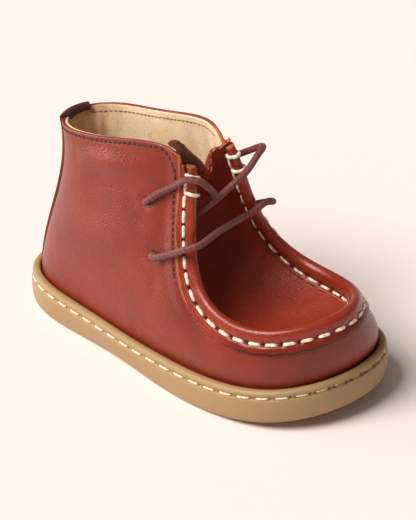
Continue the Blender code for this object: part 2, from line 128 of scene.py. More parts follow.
def add(material, kind, inputs=None, **settings):
    """Add a node to a material, with its own settings and what feeds it."""
    node = material.node_tree.nodes.new("ShaderNode" + kind)
    for name, value in settings.items():
        setattr(node, name, value)
    feed(node, inputs or {})
    return node


def surface(name):
    """An empty material, its shader, what adds nodes to it, and the object's own coordinates."""
    material = bpy.data.materials.new(name)
    material.use_nodes = True
    node = partial(add, material)
    return material, material.node_tree.nodes["Principled BSDF"], node, node("TexCoord").outputs["Object"]


for name, kind, place, power in (
    ("high_window", "SUN", (-0.60, -1.50, 2.10), 3.65),
    ("low_panel", "AREA", (-2.20, -0.85, 0.35), 25),
):
    lamp = bpy.data.lights.new(name, kind)
    if kind == "SUN":
        lamp.angle = WINDOW_SPREAD
    else:
        lamp.shape = "RECTANGLE"
        lamp.size, lamp.size_y = LOW_PANEL_SIZE
    lamp.energy = power
    lamp.color = linear("fffaf4")[:3]
    light = put(name, lamp)
    light.location = place
    light.rotation_euler = (LIT_POINT - light.location).to_track_quat("-Z", "Y").to_euler()

room = bpy.data.worlds.new("pale_room")
room.use_nodes = True
feed(room.node_tree.nodes["Background"], {"Color": "fff6f0", "Strength": ROOM_STRENGTH})
bpy.context.scene.world = room

# Card: matt, uncoated, warm white.
card, shader, *_ = surface("warm_white_card")
feed(shader, {"Base Color": "f8eae7", "Roughness": 0.9, "Specular IOR Level": 0.1})
floor_mesh = bpy.data.meshes.new("floor")
corners = [(x * CARD_REACH, y * CARD_REACH, 0) for x, y in ((-1, -1), (1, -1), (1, 1), (-1, 1))]
floor_mesh.from_pydata(corners, [], [(0, 1, 2, 3)])
floor_mesh.materials.append(card)
floor = put("floor", floor_mesh)


# ==================== outsole
# The cup sole: gum rubber, moulded in one piece with its rim and cup, with a groove round the side that
# takes the stitches. The tread is cut with shallow waves and lifts at the toe.
LENGTH = 0.140
BALL_WIDTH = 0.064
SOLE_HEIGHT = 0.0122
TOE_SPRING = 0.0058
SPRING_START = 0.62
WAIST_SWING = 0.0017
WAIST = (0.42, 0.20)  # middle and reach, as shares of the length
TOE_SWING = 0.0055
RIM_INSET = 0.0034
CUP_FLOOR = 0.0045
ARCH_INSET = 0.0025
ARCH = (0.40, 0.16)
GROOVE_HEIGHT = 0.0097
STATION_STEP = 0.00042
TREAD_COLUMNS = 61
CUP_COLUMNS = 21
WAVE_PITCH = 0.005
WAVE_SWAY = 0.0035
WAVE_DEPTH = 0.0007
WELD = 0.00001  # points nearer than this are one
SOLE_STITCH_PITCH = 0.0067
SOLE_STITCH_LENGTH = 0.0045
NEEDLE_DENT = 0.0008
NEEDLE_REACH = 0.0006
# Degrees round from the heel, and the share of half the ball's width there.
SOLE_OUTLINE = {
    0: 0.0, 20: 0.405, 45: 0.695, 70: 0.785, 95: 0.920, 120: 1.0, 142: 0.858, 163: 0.447, 180: 0.0
}
# Height, inset and share of the arch's inset: from the tread round its edge, up the side, through the
# groove, over the rim and down into the cup.
SOLE_SIDE = (
    (0.0, 0.0024, 1.0),
    (0.0, 0.0016, 1.0),
    (0.0004, 0.0009, 0.95),
    (0.0012, 0.0004, 0.85),
    (0.0024, 0.0002, 0.60),
    (0.0048, 0.0, 0.30),
    (0.0072, 0.0001, 0.10),
    (GROOVE_HEIGHT - 0.0011, 0.0002, 0.0),
    (GROOVE_HEIGHT - 0.0007, 0.0004, 0.0),
    (GROOVE_HEIGHT - 0.0003, 0.0008, 0.0),
    (GROOVE_HEIGHT + 0.0002, 0.0008, 0.0),
    (GROOVE_HEIGHT + 0.0006, 0.0005, 0.0),
    (GROOVE_HEIGHT + 0.0010, 0.0004, 0.0),
    (SOLE_HEIGHT - 0.0009, 0.0007, 0.0),
    (SOLE_HEIGHT - 0.0004, 0.0011, 0.0),
    (SOLE_HEIGHT - 0.0001, 0.0017, 0.0),
    (SOLE_HEIGHT, 0.0025, 0.0),
    (SOLE_HEIGHT - 0.0002, 0.0031, 0.0),
    (SOLE_HEIGHT - 0.0008, RIM_INSET, 0.0),
    (CUP_FLOOR, RIM_INSET, 0.0),
)


def smooth(knots, values):
    """Cubic spline through values at the knots, as a function."""
    knots, values = np.asarray(knots, float), np.asarray(values, float)
    size = len(knots)
    span = np.diff(knots)
    slope = np.diff(values) / span
    system = np.eye(size)
    change = np.zeros(size)
    for i in range(1, size - 1):
        system[i, i - 1 : i + 2] = span[i - 1], 2 * (span[i - 1] + span[i]), span[i]
        change[i] = 6 * (slope[i] - slope[i - 1])
    bend = np.linalg.solve(system, change)

    def value(at):
        """The spline's value."""
        i = np.clip(np.searchsorted(knots, at, side="right") - 1, 0, size - 2)
        a = (knots[i + 1] - at) / span[i]
        b = 1 - a
        cubic = (a**3 - a) * bend[i] + (b**3 - b) * bend[i + 1]
        return a * values[i] + b * values[i + 1] + cubic * span[i] ** 2 / 6

    return value


def mirrored(knots, values, odd):
    """Spline of a column that is mirrored at its first and last row. An odd one changes sign there."""
    knots, values = list(knots), list(values)

    def reflect(pivot, row):
        """A row's value beyond the first or last row."""
        return 2 * pivot - row if odd else row

    before = [2 * knots[0] - k for k in knots[:0:-1]], [reflect(values[0], v) for v in values[:0:-1]]
    after = [2 * knots[-1] - k for k in knots[-2::-1]], [reflect(values[-1], v) for v in values[-2::-1]]
    curve = smooth(before[0] + knots + after[0], before[1] + values + after[1])
    return lambda at: np.where(at < knots[0], reflect(values[0], curve(2 * knots[0] - at)), curve(at))


def unit(vectors):
    """The vectors at length 1."""
    return vectors / np.linalg.norm(vectors, axis=-1, keepdims=True)


def points(x, y, z):
    """Coordinates put together as points."""
    return np.stack(np.broadcast_arrays(x, y, z), axis=-1).astype(float)


def run_along(line):
    """How far along a line of points each of them is."""
    return np.concatenate([[0], np.cumsum(np.linalg.norm(np.diff(line, axis=0), axis=1))])


def picked(line, run, at, curved=False):
    """A line of points read at other ways along it, between its points or on a smooth curve through them."""
    return np.stack([smooth(run, c)(at) if curved else np.interp(at, run, c) for c in line.T], axis=-1)


def rise(low_end, high_end, value):
    """0 below one value and 1 above the other, with a soft step between them."""
    share = np.clip((value - low_end) / (high_end - low_end), 0, 1)
    return share * share * (3 - 2 * share)


def bump(value, middle, width):
    """A soft bump of height 1."""
    return np.exp(-(((value - middle) / width) ** 2))


def centre(x, swing=TOE_SWING):
    """Sideways place of the last's centre line."""
    share = x / LENGTH
    return swing * share**3 - WAIST_SWING * bump(share, *WAIST)


half_width = mirrored(SOLE_OUTLINE, [share * BALL_WIDTH / 2 for share in SOLE_OUTLINE.values()], odd=True)


def widest_line(turn):
    """Point on the sole's widest line. turn is negative on the lateral side."""
    x = LENGTH * (1 - np.cos(np.radians(turn))) / 2
    return points(x, centre(x) + half_width(turn), 0)


def away(turn):
    """Level direction that points out of the sole's outline."""
    along = unit(widest_line(turn + 0.5) - widest_line(turn - 0.5))
    return points(-along[..., 1], along[..., 0], 0)


def outline(turn, inset, height):
    """Point inside the widest line by inset, at a height that follows the toe spring."""
    point = widest_line(turn) - away(turn) * np.expand_dims(inset, -1)
    sprung = np.clip((point[..., 0] / LENGTH - SPRING_START) / (1 - SPRING_START), 0, 1)
    point[..., 2] = height + TOE_SPRING * sprung**2
    return point


sole_sides = outline(np.linspace(-180, 180, 721), 0.0, 0.0)[:, 1]
HOME = np.array([LENGTH / 2, (sole_sides.min() + sole_sides.max()) / 2, 0])


def quads(rows, columns, tube=False):
    """Faces of a grid of points. tube joins the last column to the first."""
    row = np.arange(rows - 1)[:, None] * columns
    column = np.arange(columns if tube else columns - 1)[None, :]
    beside = (column + 1) % columns
    corners = (row + column, row + beside, row + columns + beside, row + columns + column)
    return np.stack(corners, axis=-1).reshape(-1, 4)


def capped(loops, *caps):
    """A wall of loops and the grids of points that close it, as points and faces."""
    faces, start = [quads(len(loops), len(loops[0]), tube=True)], len(loops) * len(loops[0])
    for cap in caps:
        faces.append(quads(*cap.shape[:2]) + start)
        start += cap.size // 3
    return np.concatenate([*loops, *(cap.reshape(-1, 3) for cap in caps)]), np.concatenate(faces)


def across(ring, columns):
    """Fill a ring of points, which starts at the toe, with rows from side to side."""
    half = len(ring) // 2
    one, other = ring[: half + 1], np.concatenate([ring[:1], ring[:half - 1 : -1]])
    share = np.linspace(0, 1, columns)[None, :, None]
    return one[:, None] * (1 - share) + other[:, None] * share


def skin(name, verts, faces, materials, slot, sharp=60, kinds=None, **marks):
    """A smooth-shaded piece that rides on the boot. kinds say which material each face has, and marks are
    numbers at its points that its materials read."""
    mesh = bpy.data.meshes.new(name)
    mesh.from_pydata((verts - HOME).tolist(), [], faces if isinstance(faces, list) else faces.tolist())
    for material in materials:
        mesh.materials.append(material)
    if kinds is not None:
        mesh.polygons.foreach_set("material_index", np.asarray(kinds, np.int32))
    for mark, values in marks.items():
        numbers = np.ravel(values).astype(np.float32)
        mesh.attributes.new(mark, "FLOAT", "POINT").data.foreach_set("value", numbers)
    mesh.shade_smooth()
    mesh.set_sharp_from_angle(angle=np.radians(sharp))
    item = put(name, mesh)
    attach(item, "root")
    return item


def join_and_turn(item):
    """Weld a piece's edges where they meet and turn its faces outwards."""
    shape = bmesh.new()
    shape.from_mesh(item.data)
    bmesh.ops.remove_doubles(shape, verts=shape.verts, dist=WELD)
    bmesh.ops.recalc_face_normals(shape, faces=shape.faces)
    shape.to_mesh(item.data)
    shape.free()


# Gum rubber, moulded: honey brown and a little waxy, with the mould's faint mottle. Darker brown is painted
# in the needle holes and along the foot of the leather, as painted shade.
gum, shader, node, place = surface("moulded_gum_rubber")
cloud = node("TexNoise", {"Vector": place, "Scale": 70.0, "Detail": 4.0})
speck = node("TexNoise", {"Vector": place, "Scale": 1400.0, "Detail": 2.0})
tone = node("MixRGB", {"Fac": cloud, "Color1": "9e7f55", "Color2": "a98a60"})
# The hole mark is painted shade, in the needle holes and along the rim's inner edge.
hole = node("Attribute", attribute_name="hole")
dark = node("MixRGB", {"Fac": hole, "Color1": tone, "Color2": "6b4018"})
grain = node("Bump", {"Height": speck, "Strength": 0.12, "Distance": 0.0002})
feed(shader, {"Base Color": dark, "Normal": grain, "Roughness": 0.5, "IOR": 1.52})

turns = np.linspace(-180, 180, 7201)
rim_run = run_along(outline(turns, 0.0006, GROOVE_HEIGHT))
station_count = int(rim_run[-1] / STATION_STEP) // 2 * 2
station_run = np.linspace(0, rim_run[-1], station_count + 1)[:-1]
station_turn = np.interp(station_run, rim_run, turns)
arch = ARCH_INSET * bump((1 - np.cos(np.radians(station_turn))) / 2, *ARCH)

# Needle holes at the ends of every stitch, as small dents in the groove, deepest at the front of the toe.
stitch_count = int(round(rim_run[-1] / SOLE_STITCH_PITCH))
stitch_run = (np.arange(stitch_count) + 0.5) * rim_run[-1] / stitch_count
needle = np.concatenate([stitch_run - SOLE_STITCH_LENGTH / 2, stitch_run + SOLE_STITCH_LENGTH / 2])
near_needle = np.abs(station_run[:, None] - needle[None, :]).min(axis=1)
toe_front = bump(np.abs(station_turn), 180, 34)
# The hole marks paint shade into the needle holes and along the rim's inner edge, where the leather stands.
loops, holes = [], []
for height, inset, arch_share in SOLE_SIDE:
    deep = bump(near_needle, 0, NEEDLE_REACH) * bump(height, GROOVE_HEIGHT, NEEDLE_REACH)
    deep = deep * (0.25 + 0.75 * toe_front)
    loops.append(outline(station_turn, inset + arch_share * arch + NEEDLE_DENT * deep, height))
    holes.append(np.maximum(deep, 0.8 * bump(inset, RIM_INSET, 0.0004)))

# The tread: shallow waves across, cut into the underside.
tread = across(loops[0], TREAD_COLUMNS)
inward = np.linspace(0, 1, TREAD_COLUMNS)
inward = np.minimum(inward, inward[::-1])[None, :]
wave = np.sin(2 * np.pi * (tread[..., 0] / WAVE_PITCH + 0.6 * np.sin(tread[..., 1] / WAVE_SWAY)))
tread[..., 2] += WAVE_DEPTH * rise(0.0, 0.5, wave) * rise(0.0, 0.06, inward)
cup = across(loops[-1], CUP_COLUMNS)
verts, faces = capped(loops, tread, cup)
marks = np.concatenate([*holes, np.zeros((tread.size + cup.size) // 3)])
outsole = skin("outsole_gum", verts, faces, [gum], "gum_rubber", hole=marks)
join_and_turn(outsole)
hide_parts("outsole")


# ==================== sole stitches
# One row of cream waxed thread, locked through the groove, the foot of the leather and the insole all the
# way round. The thread has sunk into the rubber where the foot bends most, at the front of the toe.
THREAD_SIDES = 10
THREAD_SQUASH = 0.8  # sewn thread is pressed a little flat
TWIST_SHIFT = 0.0013  # from stitch to stitch, so that no two show the same twist
THREAD_SHARP = 80  # degrees between faces that show as an edge
TOE_SINK = 0.0008
# lift is how high a stitch's middle stands and sink how deep its ends dive.
Stitch = namedtuple("Stitch", "length thickness sink lift")


def tube(line, radius, sides, squash=1.0, up=None):
    """A body along a line of points: its points, its faces, how far along each point is and how far round."""
    radius = np.broadcast_to(radius, len(line))
    along = unit(np.gradient(line, axis=0))
    if up is None:
        up = np.empty_like(along)
        up[0] = unit(np.cross(np.cross(along[0], (0.13, 0.21, 0.97)), along[0]))
        for i in range(1, len(line)):
            up[i] = unit(up[i - 1] - along[i] * (up[i - 1] @ along[i]))
    up = unit(up - along * np.sum(up * along, axis=1, keepdims=True))
    beside = np.cross(along, up)
    angle = np.arange(sides) * 2 * np.pi / sides
    spread = beside[:, None] * np.cos(angle)[:, None] + up[:, None] * squash * np.sin(angle)[:, None]
    verts = (line[:, None] + spread * radius[:, None, None]).reshape(-1, 3)
    faces = quads(len(line), sides, tube=True)
    return verts, faces, np.repeat(run_along(line), sides), np.tile(angle / (2 * np.pi), len(line))


def thread_piece(name, bodies, material, slot, shift=0.0):
    """One piece of all the bodies that tube() gives. shift moves the twist on from one to the next."""
    verts, faces, runs, turned = zip(*bodies)
    faces = np.concatenate([body + number * len(verts[0]) for number, body in enumerate(faces)])
    run = np.concatenate([along + number * shift for number, along in enumerate(runs)])
    turn = np.concatenate(turned)
    return skin(name, np.concatenate(verts), faces, [material], slot, THREAD_SHARP, run=run, turn=turn)


def sew(name, line, up, middles, stitch, material, slot, run=None):
    """Stitches with their middles at these ways along a sewing line. up points out of the leather. run is how
    far along each point counts, where the middles aren't measured on the line itself."""
    run = run_along(line) if run is None else run
    share = np.sin(np.linspace(-1, 1, 13) * np.pi / 2)
    height = stitch.lift - (stitch.lift + stitch.sink) * np.abs(share) ** 5
    radius = stitch.thickness / 2 * np.sqrt(np.clip(1.04 - np.abs(share) ** 6, 0.05, 1))
    bodies = []
    for middle in middles:
        at = middle + share * stitch.length / 2
        out = unit(picked(up, run, at))
        path = picked(line, run, at) + out * height[:, None]
        bodies.append(tube(path, radius, THREAD_SIDES, THREAD_SQUASH, out))
    thread_piece(name, bodies, material, slot, TWIST_SHIFT)


def twisted(
    name, pale, dark, lay, hands=(1,), strands=1.0, fibre=(3500.0, 2.0), fuzz=0.35, relief=(0.6, 0.0002)
):
    """Waxed thread or cord: its strands wind round at a lay, to one hand or plaited to both, and show as
    slanting ridges with fine fibres, a bit darker between them."""
    material, shader, node, place = surface(name)
    along = node("Attribute", attribute_name="run")
    turned = node("Attribute", attribute_name="turn")
    waves = []
    for hand in hands:
        lays = node("Math", {0: along, 1: hand / lay}, operation="MULTIPLY")
        spiral = node("Math", {0: turned, 1: strands, 2: lays}, operation="MULTIPLY_ADD")
        angle = node("Math", {0: spiral, 1: 2 * np.pi}, operation="MULTIPLY")
        waves.append(node("Math", {0: angle}, operation="SINE"))
    ridge = waves[0]
    for other in waves[1:]:
        ridge = node("Math", {0: ridge, 1: other}, operation="MULTIPLY")
    ridge = node("MapRange", {"Value": ridge, "From Min": -1.0, "From Max": 1.0})
    fibres = node("TexNoise", {"Vector": place, "Scale": fibre[0], "Detail": fibre[1]})
    mixed = node("Math", {0: fibres, 1: fuzz, 2: ridge}, operation="MULTIPLY_ADD")
    # The colour follows the strands' relief: painted shade in the grooves between them and painted light on
    # their crests, mottled by the fibres.
    tone = node("MixRGB", {"Fac": mixed, "Color1": dark, "Color2": pale})
    bumps = node("Bump", {"Height": mixed, "Strength": relief[0], "Distance": relief[1]})
    feed(shader, {"Base Color": tone, "Normal": bumps, "Roughness": 0.6})
    return material, shader


cream_thread, _ = twisted("waxed_cream_thread", "f3e6cb", "d8c19a", 0.0016)
groove = outline(turns, 0.0005, GROOVE_HEIGHT)
groove -= away(turns) * (bump(np.abs(turns), 180, 26) * TOE_SINK)[:, None]
sole_stitch = Stitch(SOLE_STITCH_LENGTH, 0.0008, sink=0.0004, lift=0.0)
sew("sole_stitches", groove, away(turns), stitch_run, sole_stitch, cream_thread, "gum_rubber")


# ==================== insole
# The footbed: a board covered with natural leather, laid in the foot of the upper. Its edge is rounded and
# its top a little hollow.
INSOLE_THICKNESS = 0.0028
WALL = 0.0020  # of the upper, with its lining
GAP = 0.0003  # that each piece keeps from the next
BED_COLUMNS = 31

# Vegetable-tanned lining leather: pale tan and matt, softly mottled, with fine pores.
footbed, shader, node, place = surface("footbed_lining_leather")
cloud = node("TexNoise", {"Vector": place, "Scale": 90.0, "Detail": 5.0})
tone = node("MixRGB", {"Fac": cloud, "Color1": "c79a68", "Color2": "dcb584"})
pore = node("TexVoronoi", {"Vector": place, "Scale": 1100.0})
relief = node("Bump", {"Height": pore, "Strength": 0.3, "Distance": 0.0002})
feed(shader, {"Base Color": tone, "Normal": relief, "Roughness": 0.75})

bed_inset = RIM_INSET + WALL + 2 * GAP
bed_bottom = CUP_FLOOR + GAP
bed_top = bed_bottom + INSOLE_THICKNESS
bed_turns = station_turn[::3]
bed_turns = bed_turns[: len(bed_turns) // 2 * 2]
loops = [
    outline(bed_turns, bed_inset + inward, height)
    for inward, height in (
        (0.0005, bed_bottom),
        (0.0, bed_bottom + 0.0005),
        (0.0, bed_top - 0.0006),
        (0.0002, bed_top - 0.0002),
        (0.0007, bed_top),
        (0.0040, bed_top - 0.0004),
    )
]
verts, faces = capped(loops, across(loops[-1], BED_COLUMNS), across(loops[0], BED_COLUMNS))
insole = skin("insole_footbed", verts, faces, [footbed], "footbed_leather")
join_and_turn(insole)
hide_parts("insole")


# ==================== lining
# Pale pigskin, flesh side out, cemented behind the upper all the way up to the collar and the facings. It
# shows inside the opening.
COLLAR_HEIGHT = 0.071
# From the back of the heel along one side to the toe. Each rib stands inside the sole's rim, at the first
# number's degrees round from the heel. The next three are x, half width and z of its end on the top edge:
# collar, facing, then the seam round the apron. The next two push it out at one and two thirds of its
# height. The last is the angle, in degrees, at which the apron leaves the edge.
RIBS = (
    (0, 0.0140, 0.0, COLLAR_HEIGHT - 0.0006, -0.0018, -0.0076, 0),
    (18, 0.0157, 0.0065, COLLAR_HEIGHT - 0.0006, -0.0018, -0.0074, 0),
    (35, 0.0204, 0.0107, COLLAR_HEIGHT + 0.0001, -0.0012, -0.0056, 0),
    (50, 0.0286, 0.0131, COLLAR_HEIGHT + 0.0018, 0.0001, -0.0024, 0),
    (62, 0.0408, 0.0133, COLLAR_HEIGHT + 0.0046, 0.0016, -0.0006, 0),
    (71, 0.0535, 0.0124, COLLAR_HEIGHT + 0.0080, 0.0026, 0.0006, 0),
    (78, 0.0643, 0.0110, COLLAR_HEIGHT + 0.0100, 0.0030, 0.0012, 40),
    (83, 0.0714, 0.0097, COLLAR_HEIGHT + 0.0092, 0.0032, 0.0016, 60),
    (86.5, 0.0756, 0.0091, COLLAR_HEIGHT + 0.0069, 0.0034, 0.0020, 70),
    (89, 0.0778, 0.0094, COLLAR_HEIGHT + 0.0036, 0.0036, 0.0024, 72),
    (92, 0.0788, 0.0108, 0.0693, 0.0037, 0.0027, 70),
    (96, 0.0800, 0.0133, 0.0613, 0.0038, 0.0032, 62),
    (102, 0.0826, 0.0167, 0.0502, 0.0038, 0.0036, 42),
    (109, 0.0874, 0.0205, 0.0396, 0.0034, 0.0036, 18),
    (118, 0.0958, 0.0234, 0.0324, 0.0028, 0.0030, 2),
    (130, 0.1076, 0.0243, 0.0296, 0.0022, 0.0022, -6),
    (143, 0.1200, 0.0216, 0.0302, 0.0018, 0.0018, -10),
    (158, 0.1300, 0.0136, 0.0324, 0.0016, 0.0016, -10),
    (180, 0.1352, 0.0, 0.0340, 0.0016, 0.0016, -10),
)
TOE = len(RIBS) - 1
AROUND = 2 * TOE  # ribs from the heel round the toe and back to the heel
SEAM_START = 9  # the rib at the top of the facing
SEAM_SWING = 0.0016
LINING_DEPTH = 0.00125
LINING_SHY = 0.0046  # at the lateral facing it stops this far behind the facing's edge
LINING_TOP = 0.992
LINING_FOOT = -0.98
LATERAL_CORNER = 7.55  # the rib where the lateral collar turns down into the raw edge
MEDIAL_LEAN = 0.0016  # the inner side's collar stands out this much further ahead of the ankle
FINE_BAND = 0.0034  # how far small triangles reach round the places that need them
EYELETS = ((6.48, 0.713), (8.58, 0.512))  # rib and height
EYELET_RADIUS = 0.0014
EYELET_SIDES = 24
FOLD_DEPTH = 0.00032
LINING_RIM_STEP = 0.0012
LINING_STEP = 0.0014

foot_turn, top_x, top_half, top_z, low, high, tuck = (
    mirrored(range(len(RIBS)), column, odd) for column, odd in zip(zip(*RIBS), (1, 0, 1, 0, 0, 0, 0))
)


def curve_between(start, pull, other_pull, end, t):
    """Points of the curve from start to end that the two pulls draw out."""
    first = start * (1 - t) ** 3 + 3 * pull * t * (1 - t) ** 2
    return first + 3 * other_pull * t**2 * (1 - t) + end * t**3


def last(place, height):
    """The upper's outer surface. place is a rib's number, height is -1 in the cup and 1 at the top edge.

    The lateral side is 0 to -TOE. Past -TOE it comes back along the medial side, to -AROUND at the heel.
    """
    place, height = np.broadcast_arrays(np.asarray(place, float), np.asarray(height, float))
    turn = foot_turn(place)
    way_out = away(turn)
    foot = outline(turn, RIM_INSET + GAP, SOLE_HEIGHT)
    top = points(top_x(place), centre(top_x(place), SEAM_SWING) + top_half(place), top_z(place))
    leans = bump(place, 6.6 - AROUND, 1.4)
    top += points(0, MEDIAL_LEAN * leans, MEDIAL_LEAN / 3 * leans)
    third = points(0, 0, (top[..., 2] - foot[..., 2]) / 3)
    lower = foot + third + way_out * low(place)[..., None]
    upper = top + (foot - top) / 3 + way_out * high(place)[..., None]
    body = curve_between(foot, lower, upper, top, np.clip(height, 0, 1)[..., None])
    body[..., 2] += np.clip(height, -1, 0) * (SOLE_HEIGHT - CUP_FLOOR - GAP)
    return body


def outward(place, height):
    """Unit normal of the last's surface."""
    height = np.clip(height, 0.002, 0.998)
    around = last(place + 0.02, height) - last(place - 0.02, height)
    upward = last(place, height + 0.002) - last(place, height - 0.002)
    return unit(np.cross(upward, around))


def edge_frame(place):
    """The upper's top edge at a place: its point, the way out of the wall and the way on from its edge."""
    out = outward(place, 1.0)
    along = last(place + 0.02, 1.0) - last(place - 0.02, 1.0)
    return last(place, 1.0), out, unit(np.cross(along, out))


def where(point, place, height):
    """The place and height on the last that are nearest to a point, from a first guess."""
    place, height = np.array(place, float), np.array(height, float)
    for _ in range(25):
        around = (last(place + 0.01, height) - last(place - 0.01, height)) / 0.02
        upward = (last(place, height + 0.001) - last(place, height - 0.001)) / 0.002
        miss = point - last(place, height)
        pairs = (around, around), (around, upward), (upward, upward), (around, miss), (upward, miss)
        aa, ab, bb, am, bm = (np.sum(p * q, axis=-1) for p, q in pairs)
        spread = aa * bb - ab * ab
        place += np.clip((am * bb - bm * ab) / spread, -0.3, 0.3)
        height = np.clip(height + np.clip((bm * aa - am * ab) / spread, -0.1, 0.1), -0.5, 1.0)
    return place, height


def rows_of(place, height):
    """A place and a height, or many, as rows."""
    return np.column_stack(np.broadcast_arrays(place, height))


# The flat pattern that the leather is cut from: the last unrolled, in metres.
rib_numbers = np.linspace(-AROUND - 1, 1, 1521)
pattern_run = run_along(last(rib_numbers, 0.6))
ladder = last(rib_numbers[:, None], np.linspace(0, 1, 40)[None, :])
rib_length = np.linalg.norm(np.diff(ladder, axis=1), axis=2).sum(axis=1)


def flat(spots):
    """Rows of (place, height) laid out on the pattern."""
    run, length = (np.interp(spots[:, 0], rib_numbers, column) for column in (pattern_run, rib_length))
    return rows_of(run, spots[:, 1] * length)


def unflat(spots):
    """Points of the pattern as rows of (place, height)."""
    place = np.interp(spots[:, 0], pattern_run, rib_numbers)
    return rows_of(place, spots[:, 1] / np.interp(place, rib_numbers, rib_length))


def nearest(spots, others):
    """Distance from each point to the nearest of the others."""
    spots, others = (np.pad(p, ((0, 0), (0, 3 - p.shape[1]))) for p in (spots, others))
    tree = KDTree(len(others))
    for number, spot in enumerate(others):
        tree.insert(spot, number)
    tree.balance()
    return np.array([tree.find(spot)[2] for spot in spots])


def cut(rim, punched, step, fine_step=None, fine_near=None):
    """Triangles for a piece of leather inside a rim, with punched holes. rim, holes and the places that need
    fine triangles are rows of (place, height). Gives the points, the triangles and the loops of the rims."""
    outlines = [flat(line) for line in (rim, *punched)]
    border = np.concatenate(outlines)
    corner, far_corner = border.min(axis=0), border.max(axis=0)
    clouds = []
    for spacing in (step,) if fine_near is None else (step, fine_step):
        columns, rows = (np.arange(corner[i], far_corner[i], spacing * (1, 0.866)[i]) for i in (0, 1))
        grid = np.stack(np.meshgrid(columns, rows), axis=-1)
        grid[::2, :, 0] += spacing / 2
        grid = grid.reshape(-1, 2)
        if fine_near is not None:
            grid = grid[(nearest(grid, flat(fine_near)) < FINE_BAND) == (spacing == fine_step)]
        clouds.append(grid[nearest(grid, border) > spacing * 0.55])
    every = np.concatenate([border, *clouds])
    starts = np.cumsum([0] + [len(line) for line in outlines])
    rings = [list(range(a, b)) for a, b in zip(starts[:-1], starts[1:])]
    sides = [(ring[i - 1], ring[i]) for ring in rings for i in (*range(1, len(ring)), 0)]
    made = delaunay_2d_cdt([Vector(spot) for spot in every], sides, [rings[0]], 1, 1e-7)
    spots, triangles = np.array([tuple(v) for v in made[0]]), np.array(made[2])
    middles = spots[triangles].mean(axis=1)
    keep = np.ones(len(triangles), bool)
    for line in outlines[1:]:
        hub = line.mean(axis=0)
        keep &= np.linalg.norm(middles - hub, axis=1) > np.linalg.norm(line - hub, axis=1).min() * 0.98
    new_number = {old: number for number, olds in enumerate(made[3]) for old in olds}
    return unflat(spots), triangles[keep], [np.array([new_number[i] for i in ring]) for ring in rings]


def punched_hole(place, height):
    """A round hole in the leather as rows of (place, height)."""
    out = outward(place, height)
    one = unit(np.cross(out, (0, 0, 1)))
    angle = np.arange(EYELET_SIDES)[:, None] * 2 * np.pi / EYELET_SIDES
    rim = last(place, height) + EYELET_RADIUS * (one * np.cos(angle) + np.cross(out, one) * np.sin(angle))
    return rows_of(*where(rim, np.full(EYELET_SIDES, place), np.full(EYELET_SIDES, height)))


def spaced(line, step):
    """Points a step apart along a line of points."""
    run = run_along(line)
    return picked(line, run, np.linspace(0, run[-1], max(int(round(run[-1] / step)), 1) + 1))


def rim_points(corners, step):
    """A closed rim through corners, each (place, height), with points a step apart on the pattern."""
    line = flat(np.array([*corners, corners[0]]))
    return unflat(np.concatenate([spaced(line[i : i + 2], step)[:-1] for i in range(len(line) - 1)]))


def on_side(ribs, side):
    """The places of ribs on the lateral side, -1, or the medial side, 1."""
    return -ribs if side < 0 else ribs - AROUND


def facing_line(back, ribs, side):
    """(place, height) of points that lie back from the facing's edge."""
    place = on_side(ribs, side)
    _, _, on = edge_frame(on_side(np.maximum(ribs, SEAM_START + 1), side))
    return rows_of(*where(last(place, 1.0) - on * np.expand_dims(back, -1), place, np.full(len(ribs), 0.9)))


def band(ring, other):
    """Faces between two closed rings of points."""
    return np.column_stack([ring, np.roll(ring, -1), np.roll(other, -1), other])


eyelet_spots = [(on_side(rib, side), height) for side in (-1, 1) for rib, height in EYELETS]
holes = [punched_hole(place, height) for place, height in eyelet_spots]

# Pigskin suede: pale straw, matt and soft, with short nap, clusters of pores and faint brown streaks. The
# streaks are painted much stronger inside the heel, as painted shade.
pigskin, shader, node, place = surface("pigskin_lining_suede")
cloud = node("TexNoise", {"Vector": place, "Scale": 140.0, "Detail": 6.0, "Roughness": 0.6})
tone = node("MixRGB", {"Fac": cloud, "Color1": "fccc8a", "Color2": "fff5de"})
pore = node("TexVoronoi", {"Vector": place, "Scale": 700.0})
spot = node("MapRange", {"Value": pore, "From Min": 0.1, "From Max": 0.3})
flecked = node("MixRGB", {"Fac": spot, "Color1": "e9bb7c", "Color2": tone})
drawn = node("Mapping", {"Vector": place, "Scale": (420.0, 420.0, 30.0)})
streak = node("TexNoise", {"Vector": drawn, "Scale": 1.0, "Detail": 4.0})
# The heel mark is painted shade inside the heel.
heel_shade = node("Attribute", attribute_name="heel")
amount = node("Math", {0: streak, 1: heel_shade}, operation="MULTIPLY")
streaked = node("MixRGB", {"Fac": amount, "Color1": flecked, "Color2": "a9632c"})
nap = node("TexNoise", {"Vector": place, "Scale": 2500.0, "Detail": 3.0})
relief = node("Bump", {"Height": nap, "Strength": 0.5, "Distance": 0.0003})
feed(shader, {"Base Color": streaked, "Normal": relief, "Roughness": 0.9, "Sheen Weight": 0.25})

top_row = [
    *rows_of(-np.arange(0, LATERAL_CORNER - 0.4, 0.25), LINING_TOP),
    *facing_line(LINING_SHY, np.linspace(SEAM_START, 12.4, 16), -1),
    *rows_of(-np.arange(13.2, AROUND + 0.01, 0.25), LINING_TOP),
]
rim = rim_points([*top_row, (-AROUND, LINING_FOOT), (0, LINING_FOOT)], LINING_RIM_STEP)
spots, triangles, loops = cut(rim, holes, LINING_STEP)
